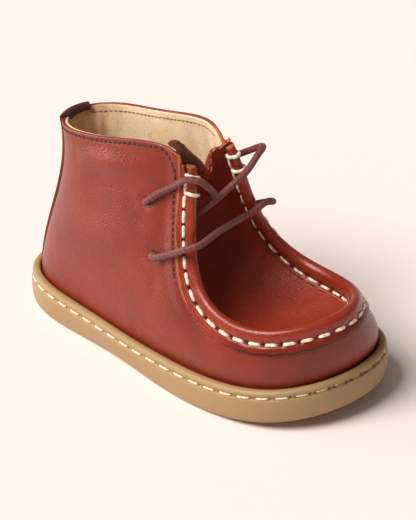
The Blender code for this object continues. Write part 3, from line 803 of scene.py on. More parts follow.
# The suede is a little loose at the heel: soft upright folds, deeper towards the middle of its height.
place, height = spots.T
from_heel = np.minimum(-place, AROUND + place)
fold = np.sin(9.0 * from_heel + 1.2 * np.sin(5.0 * height)) * (1 - rise(1.5, 4.5, from_heel))
fold = fold * np.sin(np.pi * np.clip(height, 0, 1)) + 0.5 * np.sin(7.0 * place + 11.0 * height)
slack = rise(0.0, 0.12, 1 - height)
body, out = last(place, height), outward(place, height)
verts = np.concatenate([body - out * LINING_DEPTH, body - out * (WALL + FOLD_DEPTH * fold * slack)[:, None]])
edges = np.concatenate([band(ring, ring + len(spots)) for ring in loops])
faces = [*triangles.tolist(), *(triangles[:, ::-1] + len(spots)).tolist(), *edges.tolist()]
# Faint streaks everywhere, and strong ones at the heel as painted shade.
heel_shade_mark = np.tile(0.9 * (1 - rise(1.0, 3.6, from_heel)) + 0.05, 2)
lining = skin("lining", verts, faces, [pigskin], "red_brown_leather", heel=heel_shade_mark)
join_and_turn(lining)


# ==================== upper
# The wrap: one piece of smooth, drum-dyed calf from the heel round both sides to the toe. Its collar is
# turned over, and its front edges are left raw and stand up over the facings.
BACK_OF_FACING = 0.0033  # the raw edge runs this far behind the facing's edge
UNDER_FLANGE = 0.0012
CUT_THICKNESS = 0.0014
TURNED_EDGE = 0.0012
TURNED_ROOM = 0.010  # below the top edge, as a share of the rib
WRAP_FOOT = -0.35
LIP_HEIGHT = 0.0012
LIP_REACH = 0.0060
VAMP_POINT = 13.3  # the rib where the raw edge meets the seam round the apron
MEDIAL_RAW = 7.0  # from this rib on, the medial collar is cut raw too
TOPSTITCH_DROP = 0.0017
TOPSTITCH_BACK = 0.0016
TOPSTITCH_DENT = (0.00016, 0.0005)  # depth and reach
HOLE_DISH = (0.00045, 0.0019)
HOLE_WELT = (0.00012, 0.0042, 0.0014)  # height, distance from the hole's middle, and reach
HOLE_ROUNDING = 0.00008
HOLE_DEPTH = 0.0012
RAW_BULGE = 0.00045
RAGGED = (0.00008, 0.00007)  # two waves of the raw edge
EDGE_ROWS = 5  # of points round an edge
WRAP_STEP = 0.0010
FINE_STEP = 0.0004
# Place and height of one end, place and height of the other, width and depth: where the leather has been
# pulled or bent. Troughs are deep and ridges have a negative depth.
CREASES = (
    (-3.0, 0.85, -6.6, 0.865, 0.0042, -0.00135),
    (-3.4, 0.74, -6.0, 0.76, 0.0030, 0.00035),
    (-6.9, 0.80, -7.5, 0.50, 0.0034, -0.00060),
    (-5.2, 0.70, -6.3, 0.68, 0.0016, 0.00030),
    (-6.9, 0.46, -8.3, 0.50, 0.0018, 0.00030),
    (-6.4, 0.66, -8.2, 0.60, 0.0022, 0.00025),
    (-6.3, 0.78, -8.0, 0.86, 0.0020, 0.00020),
    (-8.4, 0.44, -10.6, 0.40, 0.0024, 0.00025),
    (-5.6, 0.62, -3.6, 0.56, 0.0042, 0.00030),
    (-4.4, 0.78, -2.4, 0.72, 0.0050, -0.00030),
    (-7.2, 0.36, -4.2, 0.26, 0.0046, 0.00030),
    (-9.5, 0.22, -6.5, 0.14, 0.0040, -0.00020),
    (-12.6, 0.42, -11.2, 0.22, 0.0030, 0.00025),
    (-14.6, 0.62, -13.2, 0.36, 0.0026, 0.00020),
    (-16.4, 0.60, -17.6, 0.50, 0.0020, 0.00012),
    (-29.6, 0.66, -27.8, 0.60, 0.0022, 0.00025),
    (-27.6, 0.44, -25.2, 0.40, 0.0024, 0.00025),
    (-30.6, 0.62, -32.6, 0.54, 0.0042, 0.00030),
    (-28.6, 0.34, -31.6, 0.26, 0.0046, -0.00030),
    (-23.4, 0.42, -24.8, 0.22, 0.0030, 0.00025),
    (-21.2, 0.60, -22.6, 0.36, 0.0026, 0.00020),
)

facing_ribs = np.linspace(SEAM_START, TOE, 90)
back_off = np.interp(facing_ribs, (VAMP_POINT, VAMP_POINT + 0.8), (BACK_OF_FACING, UNDER_FLANGE))


def side_rib(place):
    """How far from the heel a place is, in ribs, on either side."""
    return TOE - np.abs(np.asarray(place) + TOE)


def along_top(drop, ribs, side):
    """(place, height) of points that lie a drop below the collar's edge, along the rib."""
    place = on_side(ribs, side)
    return rows_of(place, 1 - drop / np.interp(place, rib_numbers, rib_length))


# The wrap's rim: the collar, the front corners, and the front edges down to the toe.
fronts = {side: facing_line(back_off, facing_ribs, side) for side in (-1, 1)}
medial_corner = facing_line(BACK_OF_FACING * 0.5, np.array([SEAM_START - 0.1]), 1)
turn_down = rows_of(np.array([MEDIAL_RAW, 7.6, 8.2, 8.7]) - AROUND, 1 - TURNED_ROOM)
fronts[-1] = np.concatenate([[[-LATERAL_CORNER, 1 - TURNED_ROOM]], fronts[-1]])
fronts[1] = np.concatenate([turn_down, medial_corner, fronts[1]])
collars = [
    rows_of(side * (np.arange(0, end - 0.05, 0.12) - TOE) - TOE, 1 - TURNED_ROOM)
    for side, end in ((-1, LATERAL_CORNER), (1, MEDIAL_RAW))
]
rim = [*collars[0], *fronts[-1], *fronts[1][::-1], *collars[1][::-1], (-AROUND, WRAP_FOOT), (0, WRAP_FOOT)]
rim = rim_points(rim, FINE_STEP)

raw_edges = [line[side_rib(line[:, 0]) < VAMP_POINT + 0.9] for line in fronts.values()]
raw_spots = np.concatenate([unflat(spaced(flat(line), FINE_STEP)) for line in raw_edges])
raw_line = last(*raw_spots.T)

# The way of the machine stitching: below the collar's edge, down behind the front corner and on along the
# raw edge.
topstitch_rows = []
for side in (-1, 1):
    collar = along_top(TOPSTITCH_DROP, np.arange(1.02, 6.55, 0.1), side)
    corner = along_top(TOPSTITCH_DROP * 2.1, np.array([7.0]), side)
    down = np.linspace(SEAM_START + 0.5, VAMP_POINT - 0.25, 60)
    facing = facing_line(BACK_OF_FACING + TOPSTITCH_BACK, down, side)
    route = flat(np.concatenate([collar[::6], corner, facing[::6]]))
    run = run_along(route)
    topstitch_rows.append(unflat(picked(route, run, np.linspace(0, run[-1], 400), curved=True)))


def stand_off(spots):
    """How far the wrap stands off the last at each (place, height): its lip, its eyelets and its creases."""
    body = last(*spots.T)
    rib = side_rib(spots[:, 0])
    lip = 1 - rise(0.0004, LIP_REACH, nearest(body, raw_line))
    stand = LIP_HEIGHT * lip * (1 - rise(VAMP_POINT - 1.4, VAMP_POINT + 0.7, rib))
    stand = stand * np.where(spots[:, 0] > -TOE, 1, rise(8.5, 9.6, rib))
    for place, height in eyelet_spots:
        gap = np.linalg.norm(body - last(place, height), axis=1)
        stand = stand - HOLE_DISH[0] * bump(gap, 0, HOLE_DISH[1]) + HOLE_WELT[0] * bump(gap, *HOLE_WELT[1:])
    sheet = flat(spots)
    for *ends, width, depth in CREASES:
        start, end = flat(np.array(ends).reshape(2, 2))
        way = end - start
        share = np.clip((sheet - start) @ way / (way @ way), 0, 1)
        off = np.linalg.norm(sheet - start - share[:, None] * way, axis=1)
        stand = stand - depth * bump(off, 0, width) * np.sin(np.pi * np.clip(share, 0.04, 0.96))
    for row in topstitch_rows:
        stand = stand - TOPSTITCH_DENT[0] * bump(nearest(sheet, flat(row)[::2]), 0, TOPSTITCH_DENT[1])
    return stand


def calf_leather(name, deep, warm, gloss, grain):
    """Full-grain calf, drum-dyed and waxed: a half-matt skin with fine pores, soft mottling, tiny wrinkles
    that break up the gleam, a pale fibrous orange where it is cut, and a dark, dull rim round each needle
    hole. Real pores are 0.2 mm apart. They are drawn 1 mm apart, so that they show."""
    leather, shader, node, place = surface(name)
    cloud = node("TexNoise", {"Vector": place, "Scale": 55.0, "Detail": 4.0, "Roughness": 0.55})
    share = node("MapRange", {"Value": cloud, "From Min": 0.35, "From Max": 0.65})
    tone = node("MixRGB", {"Fac": share, "Color1": deep, "Color2": warm})
    pores = node("TexVoronoi", {"Vector": place, "Scale": 1000.0}, feature="DISTANCE_TO_EDGE")
    pebble = node("MapRange", {"Value": pores, "From Max": 0.16})
    wrinkle = node("TexNoise", {"Vector": place, "Scale": 380.0, "Detail": 5.0, "Distortion": 0.3})
    height = node("Math", {0: wrinkle, 1: 1.8, 2: pebble}, operation="MULTIPLY_ADD")
    bumps = node("Bump", {"Height": height, "Strength": grain, "Distance": 0.00018})
    cut_edge = node("Attribute", attribute_name="raw")
    fibres = node("TexNoise", {"Vector": place, "Scale": 1600.0, "Detail": 3.0})
    flesh = node("MixRGB", {"Fac": fibres, "Color1": "8d3f22", "Color2": "d98a62"})
    colour = node("MixRGB", {"Fac": cut_edge, "Color1": tone, "Color2": flesh})
    # The hole mark is painted shade: a dark, dull rim in each needle hole, and the shade and shadow line on
    # the seam's flange.
    needle = node("Attribute", attribute_name="hole")
    pierced = node("MixRGB", {"Fac": needle, "Color1": colour, "Color2": "1c0806"})
    rough = node("MapRange", {"Value": wrinkle, "To Min": gloss - 0.08, "To Max": gloss + 0.12})
    dull = node("MixRGB", {"Fac": cut_edge, "Color1": rough, "Color2": (0.85, 0.85, 0.85, 1)})
    shine = node("MapRange", {"Value": needle, "To Min": 0.5, "To Max": 0.0})
    feed(shader, {"Base Color": pierced, "Roughness": dull, "Normal": bumps})
    feed(shader, {"Specular IOR Level": shine, "IOR": 1.47})
    return leather


calf = calf_leather("drum_dyed_calf", "792415", "872d19", 0.32, 0.26)


def banded(spots, stand, loops, profile):
    """Leather with its edges rounded off or cut. profile gives a loop's bulge and depth."""
    out = outward(*spots.T)
    verts = [last(*spots.T) + out * stand[:, None]]
    faces, total = [], len(spots)
    for number, ring in enumerate(loops):
        sheet = flat(spots[ring])
        area = np.sum(sheet[:, 0] * np.roll(sheet[:, 1], -1) - np.roll(sheet[:, 0], -1) * sheet[:, 1])
        point = verts[0][ring]
        along = np.roll(point, -1, axis=0) - np.roll(point, 1, axis=0)
        beyond = unit(np.cross(along, out[ring])) * (np.sign(area) * (1 if number else -1))
        bulge, depth = profile(spots[ring], number)
        before = ring
        for angle in np.linspace(0, np.pi, EDGE_ROWS + 1)[1:]:
            down = depth * (1 - np.cos(angle)) / 2
            verts.append(point + beyond * (bulge * np.sin(angle))[:, None] - out[ring] * down[:, None])
            fresh = total + np.arange(len(ring))
            faces.append(band(before, fresh))
            before = fresh
            total += len(ring)
    return np.concatenate(verts), np.concatenate(faces)


def wrap_edge(spots, number):
    """Bulge and depth along the wrap's rim, or round a punched hole."""
    if number:
        return np.full(len(spots), HOLE_ROUNDING), np.full(len(spots), HOLE_DEPTH)
    raw = 1 - rise(0.0003, 0.0012, nearest(last(*spots.T), raw_line))
    turned = (spots[:, 1] > 0.9) & (side_rib(spots[:, 0]) < SEAM_START - 0.2)
    count = np.arange(len(spots)) + 1
    ragged = RAGGED[0] * np.sin(0.9 * count) + RAGGED[1] * np.sin(0.37 * count)
    bulge = np.where(turned, TURNED_EDGE / 2, 0) * (1 - raw) + raw * (RAW_BULGE + ragged)
    depth = np.where(turned, TURNED_EDGE, 0.0003) * (1 - raw) + raw * CUT_THICKNESS
    return bulge, depth


fine_spots = [raw_spots[::2], *(row[::4] for row in topstitch_rows), *(hole[::3] for hole in holes)]
spots, triangles, loops = cut(rim, holes, WRAP_STEP, FINE_STEP, np.concatenate(fine_spots))
verts, edges = banded(spots, stand_off(spots), loops, wrap_edge)
from_raw = nearest(last(*spots.T), raw_line)
cut_mark = np.tile(1 - rise(0.0003, 0.0010, from_raw[loops[0]]), EDGE_ROWS)
raw_mark = np.concatenate([bump(from_raw, 0, 0.00035), cut_mark])
raw_mark = np.pad(raw_mark, (0, len(verts) - len(raw_mark)))
faces = [*triangles.tolist(), *edges.tolist()]
wrap = skin("upper_wrap", verts, faces, [calf], "red_brown_leather", 50, raw=raw_mark)
join_and_turn(wrap)
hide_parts("upper")
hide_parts("upper")


# ==================== topstitching
# Fine dark brown bonded thread, machine sewn: round the collar, down behind the front corner and along the
# raw edge. The lining under the collar shows the other side of the same row, in tan.
TOPSTITCH_PITCH = 0.0022
LINING_PITCH = 0.0019

dark_thread, _ = twisted("bonded_brown_thread", "4c2a2d", "200d0f", 0.0011)
topstitch = Stitch(0.0016, 0.00070, sink=0.0003, lift=0.00012)
for name, row in zip(("lateral", "medial"), topstitch_rows):
    out = outward(*row.T)
    line = last(*row.T) + out * stand_off(row)[:, None]
    middles = np.arange(TOPSTITCH_PITCH, run_along(line)[-1], TOPSTITCH_PITCH)
    sew(f"topstitches_{name}", line, out, middles, topstitch, dark_thread, "red_brown_leather")

tan_thread, _ = twisted("bonded_tan_thread", "a9855f", "7d5c3d", 0.0011)
lining_stitch = Stitch(0.0016, 0.00036, sink=0.0002, lift=0.00008)
for name, side, end in (("lateral", -1, LATERAL_CORNER - 0.6), ("medial", 1, MEDIAL_RAW + 0.4)):
    row = along_top(TOPSTITCH_DROP + 0.0007, np.linspace(1.02, end, 160), side)
    into = -outward(*row.T)
    line = last(*row.T) + into * (WALL + 0.0001)
    middles = np.arange(0.001, run_along(line)[-1], LINING_PITCH)
    sew(f"lining_stitches_{name}", line, into, middles, lining_stitch, tan_thread, "red_brown_leather")


# ==================== apron and tongue
# One piece of thinner calf: the apron of the toe, sewn in all round, runs on up the throat as the tongue and
# folds into it. Its grain side faces up and its brown flesh side shows where it leans back inside the collar.
APRON_THICKNESS = 0.0012
APRON_BURY = 0.0012
TONGUE_TOP_REACH = 3.0  # ribs over which the tongue takes on the line of its top
APRON_COLUMNS = 71
# x, way out from the centre line, and z, from the lateral side.
TONGUE_TOP = (
    (0.0670, -0.0074, 0.0803), (0.0682, -0.0069, 0.0813), (0.0697, -0.0061, 0.0812),
    (0.0712, -0.0050, 0.0798), (0.0740, -0.0034, 0.0763), (0.0766, -0.0016, 0.0724),
    (0.0776, -0.0006, 0.0700), (0.0774, 0.0006, 0.0702), (0.0765, 0.0018, 0.0734),
    (0.0762, 0.0027, 0.0757), (0.0766, 0.0040, 0.0765), (0.0774, 0.0056, 0.0766),
    (0.0780, 0.0068, 0.0774), (0.0784, 0.0080, 0.0783), (0.0789, 0.0089, 0.0792),
)
FOLDED_BACK = 0.47  # the share of the tongue's width whose upper faces show the flesh side, as if its corner were turned over
FOLD_ROWS = 64  # the flesh-side patch narrows from the top down and ends at this row
FOLD_POINT = 130  # the row at which it would come to a point
GRAIN_ROWS = 40  # the rows from the top where the medial half shows its grain side from behind too


def apron_row(place, share):
    """The apron's middle surface from the lateral to the medial side, at one rib of the seam."""
    fold = np.sin(np.radians(max(float(tuck(place)), 0)))
    angle = np.radians(tuck(place))
    ends = []
    for side in (-place, place):
        edge, out, on = edge_frame(side)
        start = edge - out * (WALL + GAP + (APRON_THICKNESS / 2 + 0.0003) * fold)
        start = start - on * (APRON_BURY - 0.0003 * fold)
        ends.append((start, -out * np.cos(angle) - on * np.sin(angle)))
    (first, first_way), (final, final_way) = ends
    pull = np.linalg.norm(final - first) * (0.36 + 0.34 * fold)
    return curve_between(first, first + first_way * pull, final + final_way * pull, final, share[:, None])


share = (1 - np.cos(np.linspace(0, np.pi, APRON_COLUMNS))) / 2
top_points = np.array([(x, centre(x, SEAM_SWING) + half, z) for x, half, z in TONGUE_TOP])
run = run_along(top_points)
top_edge = picked(top_points, run / run[-1], share, curved=True)
rows = []
for rib in (*np.linspace(TOE - 0.06, TOE - 0.6, 12), *np.linspace(TOE - 0.65, SEAM_START, 170)):
    blend = rise(0, 1, (SEAM_START + TONGUE_TOP_REACH - rib) / TONGUE_TOP_REACH)
    rows.append(apron_row(rib, share) * (1 - blend) + top_edge * blend)
rows[-1] = rows[-1] + points(0, 0, 0.00016 * np.sin(34 * share) + 0.00012 * np.sin(71 * share + 1))
middle = np.array(rows)
normal = unit(np.cross(np.gradient(middle, axis=0), np.gradient(middle, axis=1)))
normal *= np.sign(normal[20, APRON_COLUMNS // 2, 2])
half = normal * APRON_THICKNESS / 2
verts = np.concatenate([middle + half, middle - half]).reshape(-1, 3)

# The apron's grain side is rougher than the wrap's and painted brighter, as painted light for the light its
# crown catches. The flesh side: brown, matt and fibrous.
apron_calf = calf_leather("apron_calf", "902c17", "9e381f", 0.50, 0.6)
flesh, shader, node, place = surface("calf_flesh_side")
nap = node("TexNoise", {"Vector": place, "Scale": 900.0, "Detail": 5.0})
tone = node("MixRGB", {"Fac": nap, "Color1": "3a1b0c", "Color2": "7a4524"})
bumps = node("Bump", {"Height": nap, "Strength": 0.5, "Distance": 0.0003})
feed(shader, {"Base Color": tone, "Normal": bumps, "Roughness": 0.85})

number = np.arange(len(verts) // 2).reshape(len(rows), APRON_COLUMNS)
border = np.concatenate([number[0], number[1:, -1], number[-1, -2::-1], number[-2:0:-1, 0]])
grid = quads(*number.shape)
edges = band(border, border + number.size)
faces = np.concatenate([grid, grid[:, ::-1] + number.size, edges])
from_top = len(rows) - 1 - np.arange(len(rows) - 1)[:, None]
turned_over = (share[:-1] < FOLDED_BACK * (1 - from_top / FOLD_POINT)) & (from_top < FOLD_ROWS)
under_side = ~((share[:-1] > 0.5) & (from_top < GRAIN_ROWS))
kinds = np.concatenate([turned_over.ravel(), under_side.ravel(), np.zeros(len(edges))])
top_mark = rise(2, 0, len(rows) - 1 - np.arange(len(rows)))[:, None] * (share > 0.66)
raw_mark = np.tile(top_mark.ravel(), 2)
apron = skin("apron_tongue", verts, faces, [apron_calf, flesh], "apron_leather", 50, kinds, raw=raw_mark)
join_and_turn(apron)
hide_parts("apron_tongue")


# ==================== seam strip
# A strip of calf rolled into a ridge over the joint of wrap and apron. Its flange lies under the raw edge at
# the facings and over the wrap round the toe, and its top ends are cut square.
SECTION_POINTS = 66
STRIP_STEP = 0.00045
# The strip's section, out and up from the seam's edge: outer flange, ridge and inner flange.
SEAM_SECTION = (
    (0.0001, -0.0030), (0.0006, -0.0032), (0.0010, -0.0029), (0.0011, -0.0020),
    (0.0010, -0.0010), (0.0007, -0.0001), (0.0007, 0.0004), (0.0011, 0.0009),
    (0.0014, 0.0018), (0.0016, 0.0032), (0.0012, 0.0045), (-0.0002, 0.0052),
    (-0.0016, 0.0050), (-0.0027, 0.0041), (-0.0032, 0.0028), (-0.0031, 0.0017),
    (-0.0035, 0.0011), (-0.0047, 0.0009), (-0.0053, 0.0006), (-0.0049, 0.0001),
    (-0.0012, 0.0001), (0.0, 0.0003),
)
INNER_FOOT = -0.0033  # beyond this the inner flange lies on the apron
INNER_TIP = -0.0053
RIDGE_AT_FACING = 0.68
RIDGE_GROWS_UNTIL = 15  # the rib
STITCH_PITCH = 0.0059
FACING_PITCH = 0.0050
STITCH_LENGTH = 0.0041
LATERAL_TOP = 8.62  # the ribs where the strip's square ends stand
MEDIAL_TOP = 8.35
BACK_AT_FACING = 0.0012  # how far the strip sits back from the lateral facing's edge
ON_AT_FACING = 0.0004  # and on from the medial one's
BAR_RUNS = (0.0036, 0.0094)  # from the strip's ends to the stitches that are wrapped over it
BAR_ROOM = 0.0027
PINCH = 0.00012  # how far the hand stitches draw the ridge's foot in
SCALLOP = 0.00013  # and the flange's edge
TUCKED_FLANGE = 0.0008
NEEDLE_PULL = 0.0005
FRAY = (0.00012, 0.0009)  # depth, and length of one wave over 2 pi

seam_ribs = np.linspace(-LATERAL_TOP, MEDIAL_TOP - AROUND, 1200)
seam_run = run_along(last(seam_ribs, 1.0))
seam_length = seam_run[-1]
sewn = np.linspace(BAR_RUNS[1] + BAR_ROOM, seam_length - BAR_RUNS[1] - BAR_ROOM, 3000)
from_end = np.minimum(sewn, seam_length - sewn)
pitches = FACING_PITCH + (STITCH_PITCH - FACING_PITCH) * rise(0.028, 0.045, from_end)
stitches_so_far = np.concatenate([[0], np.cumsum(np.diff(sewn) / pitches[1:])])
stitch_total = int(round(stitches_so_far[-1]))
wanted = np.arange(stitch_total + 1) * stitches_so_far[-1] / stitch_total
seam_middles = np.interp(wanted, stitches_so_far, sewn)
between_bars = sum(BAR_RUNS) / 2
seam_middles = np.array([between_bars, *seam_middles, seam_length - between_bars])


def seam_frames(runs):
    """Points of the seam a way along from its lateral end, its two directions and the ridge's size there."""
    place = np.interp(runs, seam_run, seam_ribs)
    _, out, on = edge_frame(np.clip(place, SEAM_START + 1 - AROUND, -SEAM_START - 1))
    growth = np.clip((side_rib(place) - SEAM_START) / (RIDGE_GROWS_UNTIL - SEAM_START), 0, 1)
    slide = (1 - rise(12.0, 14.5, side_rib(place))) * np.where(place > -TOE, -BACK_AT_FACING, ON_AT_FACING)
    return last(place, 1.0) + on * slide[:, None], out, on, RIDGE_AT_FACING + (1 - RIDGE_AT_FACING) * growth


def seam_point(runs, out_way, up_way):
    """A point beside the seam, given in the section's own directions."""
    edge, out, on, size = seam_frames(runs)
    return edge + out * (GAP + out_way * size)[:, None] + on * (up_way * size)[:, None]


section = np.array(SEAM_SECTION)
section_run = run_along(section)
fine_run = np.linspace(0, section_run[-1], SECTION_POINTS)
fine_section = picked(section, section_run, fine_run, curved=True)
runs = np.linspace(0, seam_length, int(seam_length / STRIP_STEP))
# How far each place is from the nearest stitch's middle: 0 there and 1 halfway to the next.
phase = np.abs((runs[:, None] - seam_middles[None, :])).min(axis=1) / (np.interp(runs, sewn, pitches) / 2)
phase = np.minimum(phase, 1)
places = np.interp(runs, seam_run, seam_ribs)
# The outer flange stands proud only round the front of the toe. The inner one starts below the facings.
proud = rise(14.0, 15.6, -places) * (1 - rise(19.2, 21.0, -places))
inner_flange = rise(11.5, 14.5, side_rib(places))
loops, painted_shade_marks, raw_marks = [], [], []
for out_way, up_way in fine_section:
    outer = out_way > 0
    pinch = PINCH * np.cos(np.pi * phase) * bump(up_way, 0.0010, 0.0012)
    scallop = -SCALLOP * np.cos(np.pi * phase) * rise(-0.0012, -0.0026, up_way) * proud
    flush = -TUCKED_FLANGE * rise(-0.0004, -0.0020, up_way) * (1 - proud)
    beside_row = bump(up_way, 0.0001, 0.0007) * outer + bump(out_way, -0.0041, 0.0005) * (up_way > 0.0004)
    # The needle holes beside the stitch rows are dented and painted dark, as painted shade.
    needle_hole = bump(phase, 1, 0.22) * beside_row
    across_way = out_way + (pinch - NEEDLE_PULL * needle_hole) * (1 if outer else 0) + flush
    if out_way < INNER_FOOT:
        frayed = FRAY[0] * np.sin(runs / FRAY[1]) * bump(out_way, INNER_TIP, 0.0005)
        across_way = INNER_FOOT + (out_way - INNER_FOOT) * inner_flange + frayed
    loops.append(seam_point(runs, across_way, up_way + scallop))
    # The flange below the stitches is painted darker, and its lower edge darker still, as painted shade and a
    # painted shadow line under it.
    painted_flange_shade = (0.38 * rise(-0.0004, -0.0018, up_way) + 0.4 * rise(-0.0024, -0.0031, up_way)) * outer * proud
    painted_shade_marks.append(np.maximum(needle_hole, painted_flange_shade))
    raw_marks.append(bump(out_way, INNER_TIP, 0.0004) * inner_flange * 0.8)
verts = np.stack(loops, axis=1).reshape(-1, 3)
cut_end = np.arange(SECTION_POINTS)
faces = quads(len(runs), SECTION_POINTS, tube=True).tolist()
faces += [cut_end[::-1].tolist(), (len(verts) - SECTION_POINTS + cut_end).tolist()]
rolled = calf_leather("rolled_calf", "862818", "953520", 0.26, 0.13)
end_marks = 0.9 * np.maximum(bump(runs, 0, 0.0004), bump(runs, seam_length, 0.0004))[:, None]
raw_mark = np.maximum(np.stack(raw_marks, axis=1), end_marks)
painted_shade_mark = np.stack(painted_shade_marks, axis=1)
roll = skin("seam_roll", verts, faces, [rolled], "rolled_leather", 60, raw=raw_mark, hole=painted_shade_mark)
join_and_turn(roll)
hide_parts("seam_roll")


# ==================== hand stitches
# Thick waxed linen thread, sewn by hand through the foot of the ridge: one row outside, its other side
# inside, and two stitches wrapped over each end of the ridge to hold it.
BAR_THICKNESS = 0.00128
BAR_LIFT = 0.00045
BAR_END_LIFT = -0.0006
BAR_SLANT = 0.0005
# The middle of the ridge and the ways of the two rows, in the section's directions.
RIDGE_HUB = (-0.0010, 0.0026)
OUTER_ROW = (0.0007, 0.0001)
INNER_ROW = (-0.0031, 0.0015)
INNER_SHIFT = (-0.0009, -0.0004)  # of the inner row, where it lies on the flange

linen, _ = twisted("waxed_linen_thread", "fbf3e2", "d9c6a5", 0.0022)
_, seam_out, seam_on, _ = seam_frames(runs)
outside = seam_point(runs, *OUTER_ROW)
outer_stitch = Stitch(STITCH_LENGTH, 0.00115, sink=0.0007, lift=0.0004)
sew("outer_stitches", outside, seam_out + seam_on * 0.25, seam_middles, outer_stitch, linen, "rolled_leather")
inside = seam_point(runs, *(way + shift * inner_flange for way, shift in zip(INNER_ROW, INNER_SHIFT)))
inside_up = seam_on * (0.35 + 0.9 * inner_flange)[:, None] - seam_out * (1 - 0.6 * inner_flange)[:, None]
inner_stitch = Stitch(STITCH_LENGTH, 0.00095, sink=0.0006, lift=0.0003)
sew("inner_stitches", inside, inside_up, seam_middles, inner_stitch, linen, "rolled_leather", runs)

over_ridge = fine_section[(fine_run > section_run[6]) & (fine_run < section_run[15])]
lift = np.full(len(over_ridge), BAR_LIFT)
lift[[0, -1]] = BAR_END_LIFT
spread = over_ridge + unit(over_ridge - np.array(RIDGE_HUB)) * lift[:, None]
slant = np.linspace(-BAR_SLANT, BAR_SLANT, len(spread))
bars = [
    tube(seam_point(bar_run + slant, *spread.T), BAR_THICKNESS / 2, THREAD_SIDES)
    for bar_run in (*BAR_RUNS, *(seam_length - run for run in BAR_RUNS))
]
thread_piece("bar_stitches", bars, linen, "rolled_leather")


# ==================== back strip
# A strip of calf cemented over the heel seam and turned over the collar. Where it is turned over, it is
# coloured dark brown.
STRIP_HALF_WIDTH = 0.0064
STRIP_FLARE = 0.0016
STRIP_THICKNESS = 0.0008
STRIP_FOLD = 0.0012
STRIP_COLUMNS = 25
STRIP_HEIGHTS = (0.008, *np.linspace(0.06, 0.84, 14), 0.89, 0.93, 0.96, 0.985, 1.0)
DARK_FROM = 17  # which of the heights the dark brown part begins at

spots_round = np.linspace(-3, 3, 241)


def strip_loop(width_share):
    """Section of the back strip from bottom to top and back, at a share of its half width."""
    places = []
    for height in STRIP_HEIGHTS:
        run = run_along(last(spots_round, height))
        run -= run[len(run) // 2]
        half = STRIP_HALF_WIDTH + STRIP_FLARE * (1 - height)
        places.append(np.interp(width_share * half, run, spots_round))
    places, heights = np.array(places), np.array(STRIP_HEIGHTS)
    body, out = last(places, heights), outward(places, heights)
    edge, edge_out, on = edge_frame(places[-1])
    hub = edge - edge_out * WALL / 2
    sides = []
    for far in (GAP + STRIP_THICKNESS, GAP):
        sides += [*(body + out * far)]
        for angle in np.linspace(0, np.pi, 9)[1:-1]:
            sides.append(hub + edge_out * np.cos(angle) * (WALL / 2 + far) + on * np.sin(angle) * far)
        for drop in (0.0, STRIP_FOLD / 2, STRIP_FOLD):
            sides.append(edge - edge_out * WALL - on * drop - edge_out * far)
    half = len(sides) // 2
    return np.array(sides[:half] + sides[: half - 1 : -1])


strip_calf = calf_leather("dark_strip_calf", "3c180f", "4a2016", 0.52, 0.4)
sections = [strip_loop(width) for width in np.linspace(-1, 1, STRIP_COLUMNS)]
size = len(sections[0])
faces = quads(STRIP_COLUMNS, size, tube=True).tolist()
column = np.arange(len(faces)) % size
up = np.arange(size // 2 - 1)
for end in (0, (STRIP_COLUMNS - 1) * size):
    faces += (end + np.column_stack([up, up + 1, size - 2 - up, size - 1 - up])).tolist()
dark = (column >= DARK_FROM) & (column < size - DARK_FROM)
kinds = np.concatenate([dark, up >= DARK_FROM, up >= DARK_FROM])
strip = skin("heel_strip", np.concatenate(sections), faces, [calf, strip_calf], "strip_leather", 50, kinds)
join_and_turn(strip)
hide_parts("heel_strip")


# ==================== lace
# One length of round waxed cotton cord, plaited, dark red brown. It lies in both pairs of punched holes, with
# its ends tucked inside at the top pair.
LACE_DIAMETER = 0.0023
LACE_SIDES = 16
LACE_STEP = 0.0004
HOLE_WAY = (0.0008, -0.0010, -0.0027)  # from outside to inside a punched hole
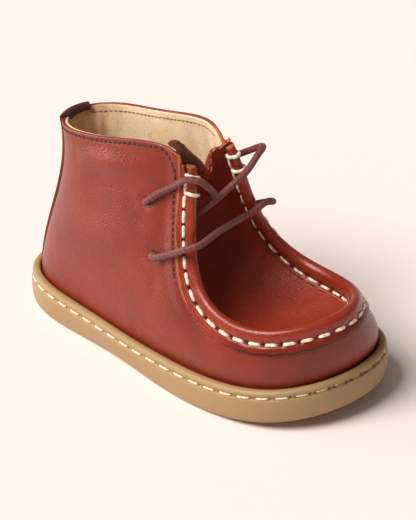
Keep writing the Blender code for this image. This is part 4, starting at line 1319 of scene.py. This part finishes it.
# x, y and z of each stretch, from where it comes out to where it goes in again.
LACE_UPPER = (
    (0.0665, -0.0181, 0.0628), (0.0705, -0.0167, 0.0664), (0.0754, -0.0147, 0.0700),
    (0.0805, -0.0142, 0.0738), (0.0840, -0.0122, 0.0736), (0.0846, -0.0095, 0.0708),
    (0.0836, -0.0068, 0.0683), (0.0826, -0.0030, 0.0629), (0.0797, -0.0006, 0.0606),
    (0.0758, 0.0035, 0.0590), (0.0712, 0.0080, 0.0562), (0.0695, 0.0135, 0.0505),
)
LACE_BAR = (
    (0.0733, 0.0213, 0.0461), (0.0785, 0.0222, 0.0485), (0.0845, 0.0208, 0.0520),
    (0.0882, 0.0186, 0.0545), (0.0886, 0.0150, 0.0560), (0.0874, 0.0110, 0.0542),
    (0.0864, 0.0060, 0.0532), (0.0866, -0.0004, 0.0535), (0.0877, -0.0084, 0.0541),
    (0.0886, -0.0140, 0.0542), (0.0882, -0.0183, 0.0536), (0.0850, -0.0209, 0.0522),
    (0.0811, -0.0215, 0.0497), (0.0765, -0.0228, 0.0472), (0.0731, -0.0230, 0.0457),
)
LACE_SLANT = (
    (0.0722, -0.0120, 0.0530), (0.0765, -0.0107, 0.0570), (0.0800, -0.0088, 0.0592),
    (0.0828, -0.0037, 0.0625), (0.0836, 0.0004, 0.0644), (0.0846, 0.0046, 0.0667),
    (0.0853, 0.0096, 0.0692), (0.0855, 0.0140, 0.0728), (0.0842, 0.0182, 0.0738),
    (0.0791, 0.0190, 0.0708), (0.0722, 0.0180, 0.0662), (0.0668, 0.0170, 0.0628),
)


def through(number, going_in=False):
    """The cord's way through a punched hole, from outside to inside or back."""
    hub, out = last(*eyelet_spots[number]), outward(*eyelet_spots[number])
    way = [hub + out * step for step in HOLE_WAY]
    return way if going_in else way[::-1]


cord, shader = twisted(
    "plaited_waxed_cotton_cord", "7a3c36", "4b211e", 0.0036,
    hands=(1, -1), strands=3.0, fibre=(2600.0, 3.0), fuzz=0.5, relief=(0.5, 0.00025),
)
feed(shader, {"Roughness": 0.62, "Sheen Weight": 0.15})
lateral_top, lateral_low, medial_top, medial_low = range(4)
route = np.array([
    *through(lateral_top), *LACE_UPPER,
    *through(medial_low), *LACE_BAR,
    *through(lateral_low, going_in=True), *LACE_SLANT,
    *through(medial_top, going_in=True),
])
run = run_along(route)
line = picked(route, run, np.linspace(0, run[-1], int(run[-1] / LACE_STEP)), curved=True)
lace = thread_piece("lace", [tube(line, LACE_DIAMETER / 2, LACE_SIDES)], cord, "waxed_cord")
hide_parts("lace_crossing", "lace_bar")
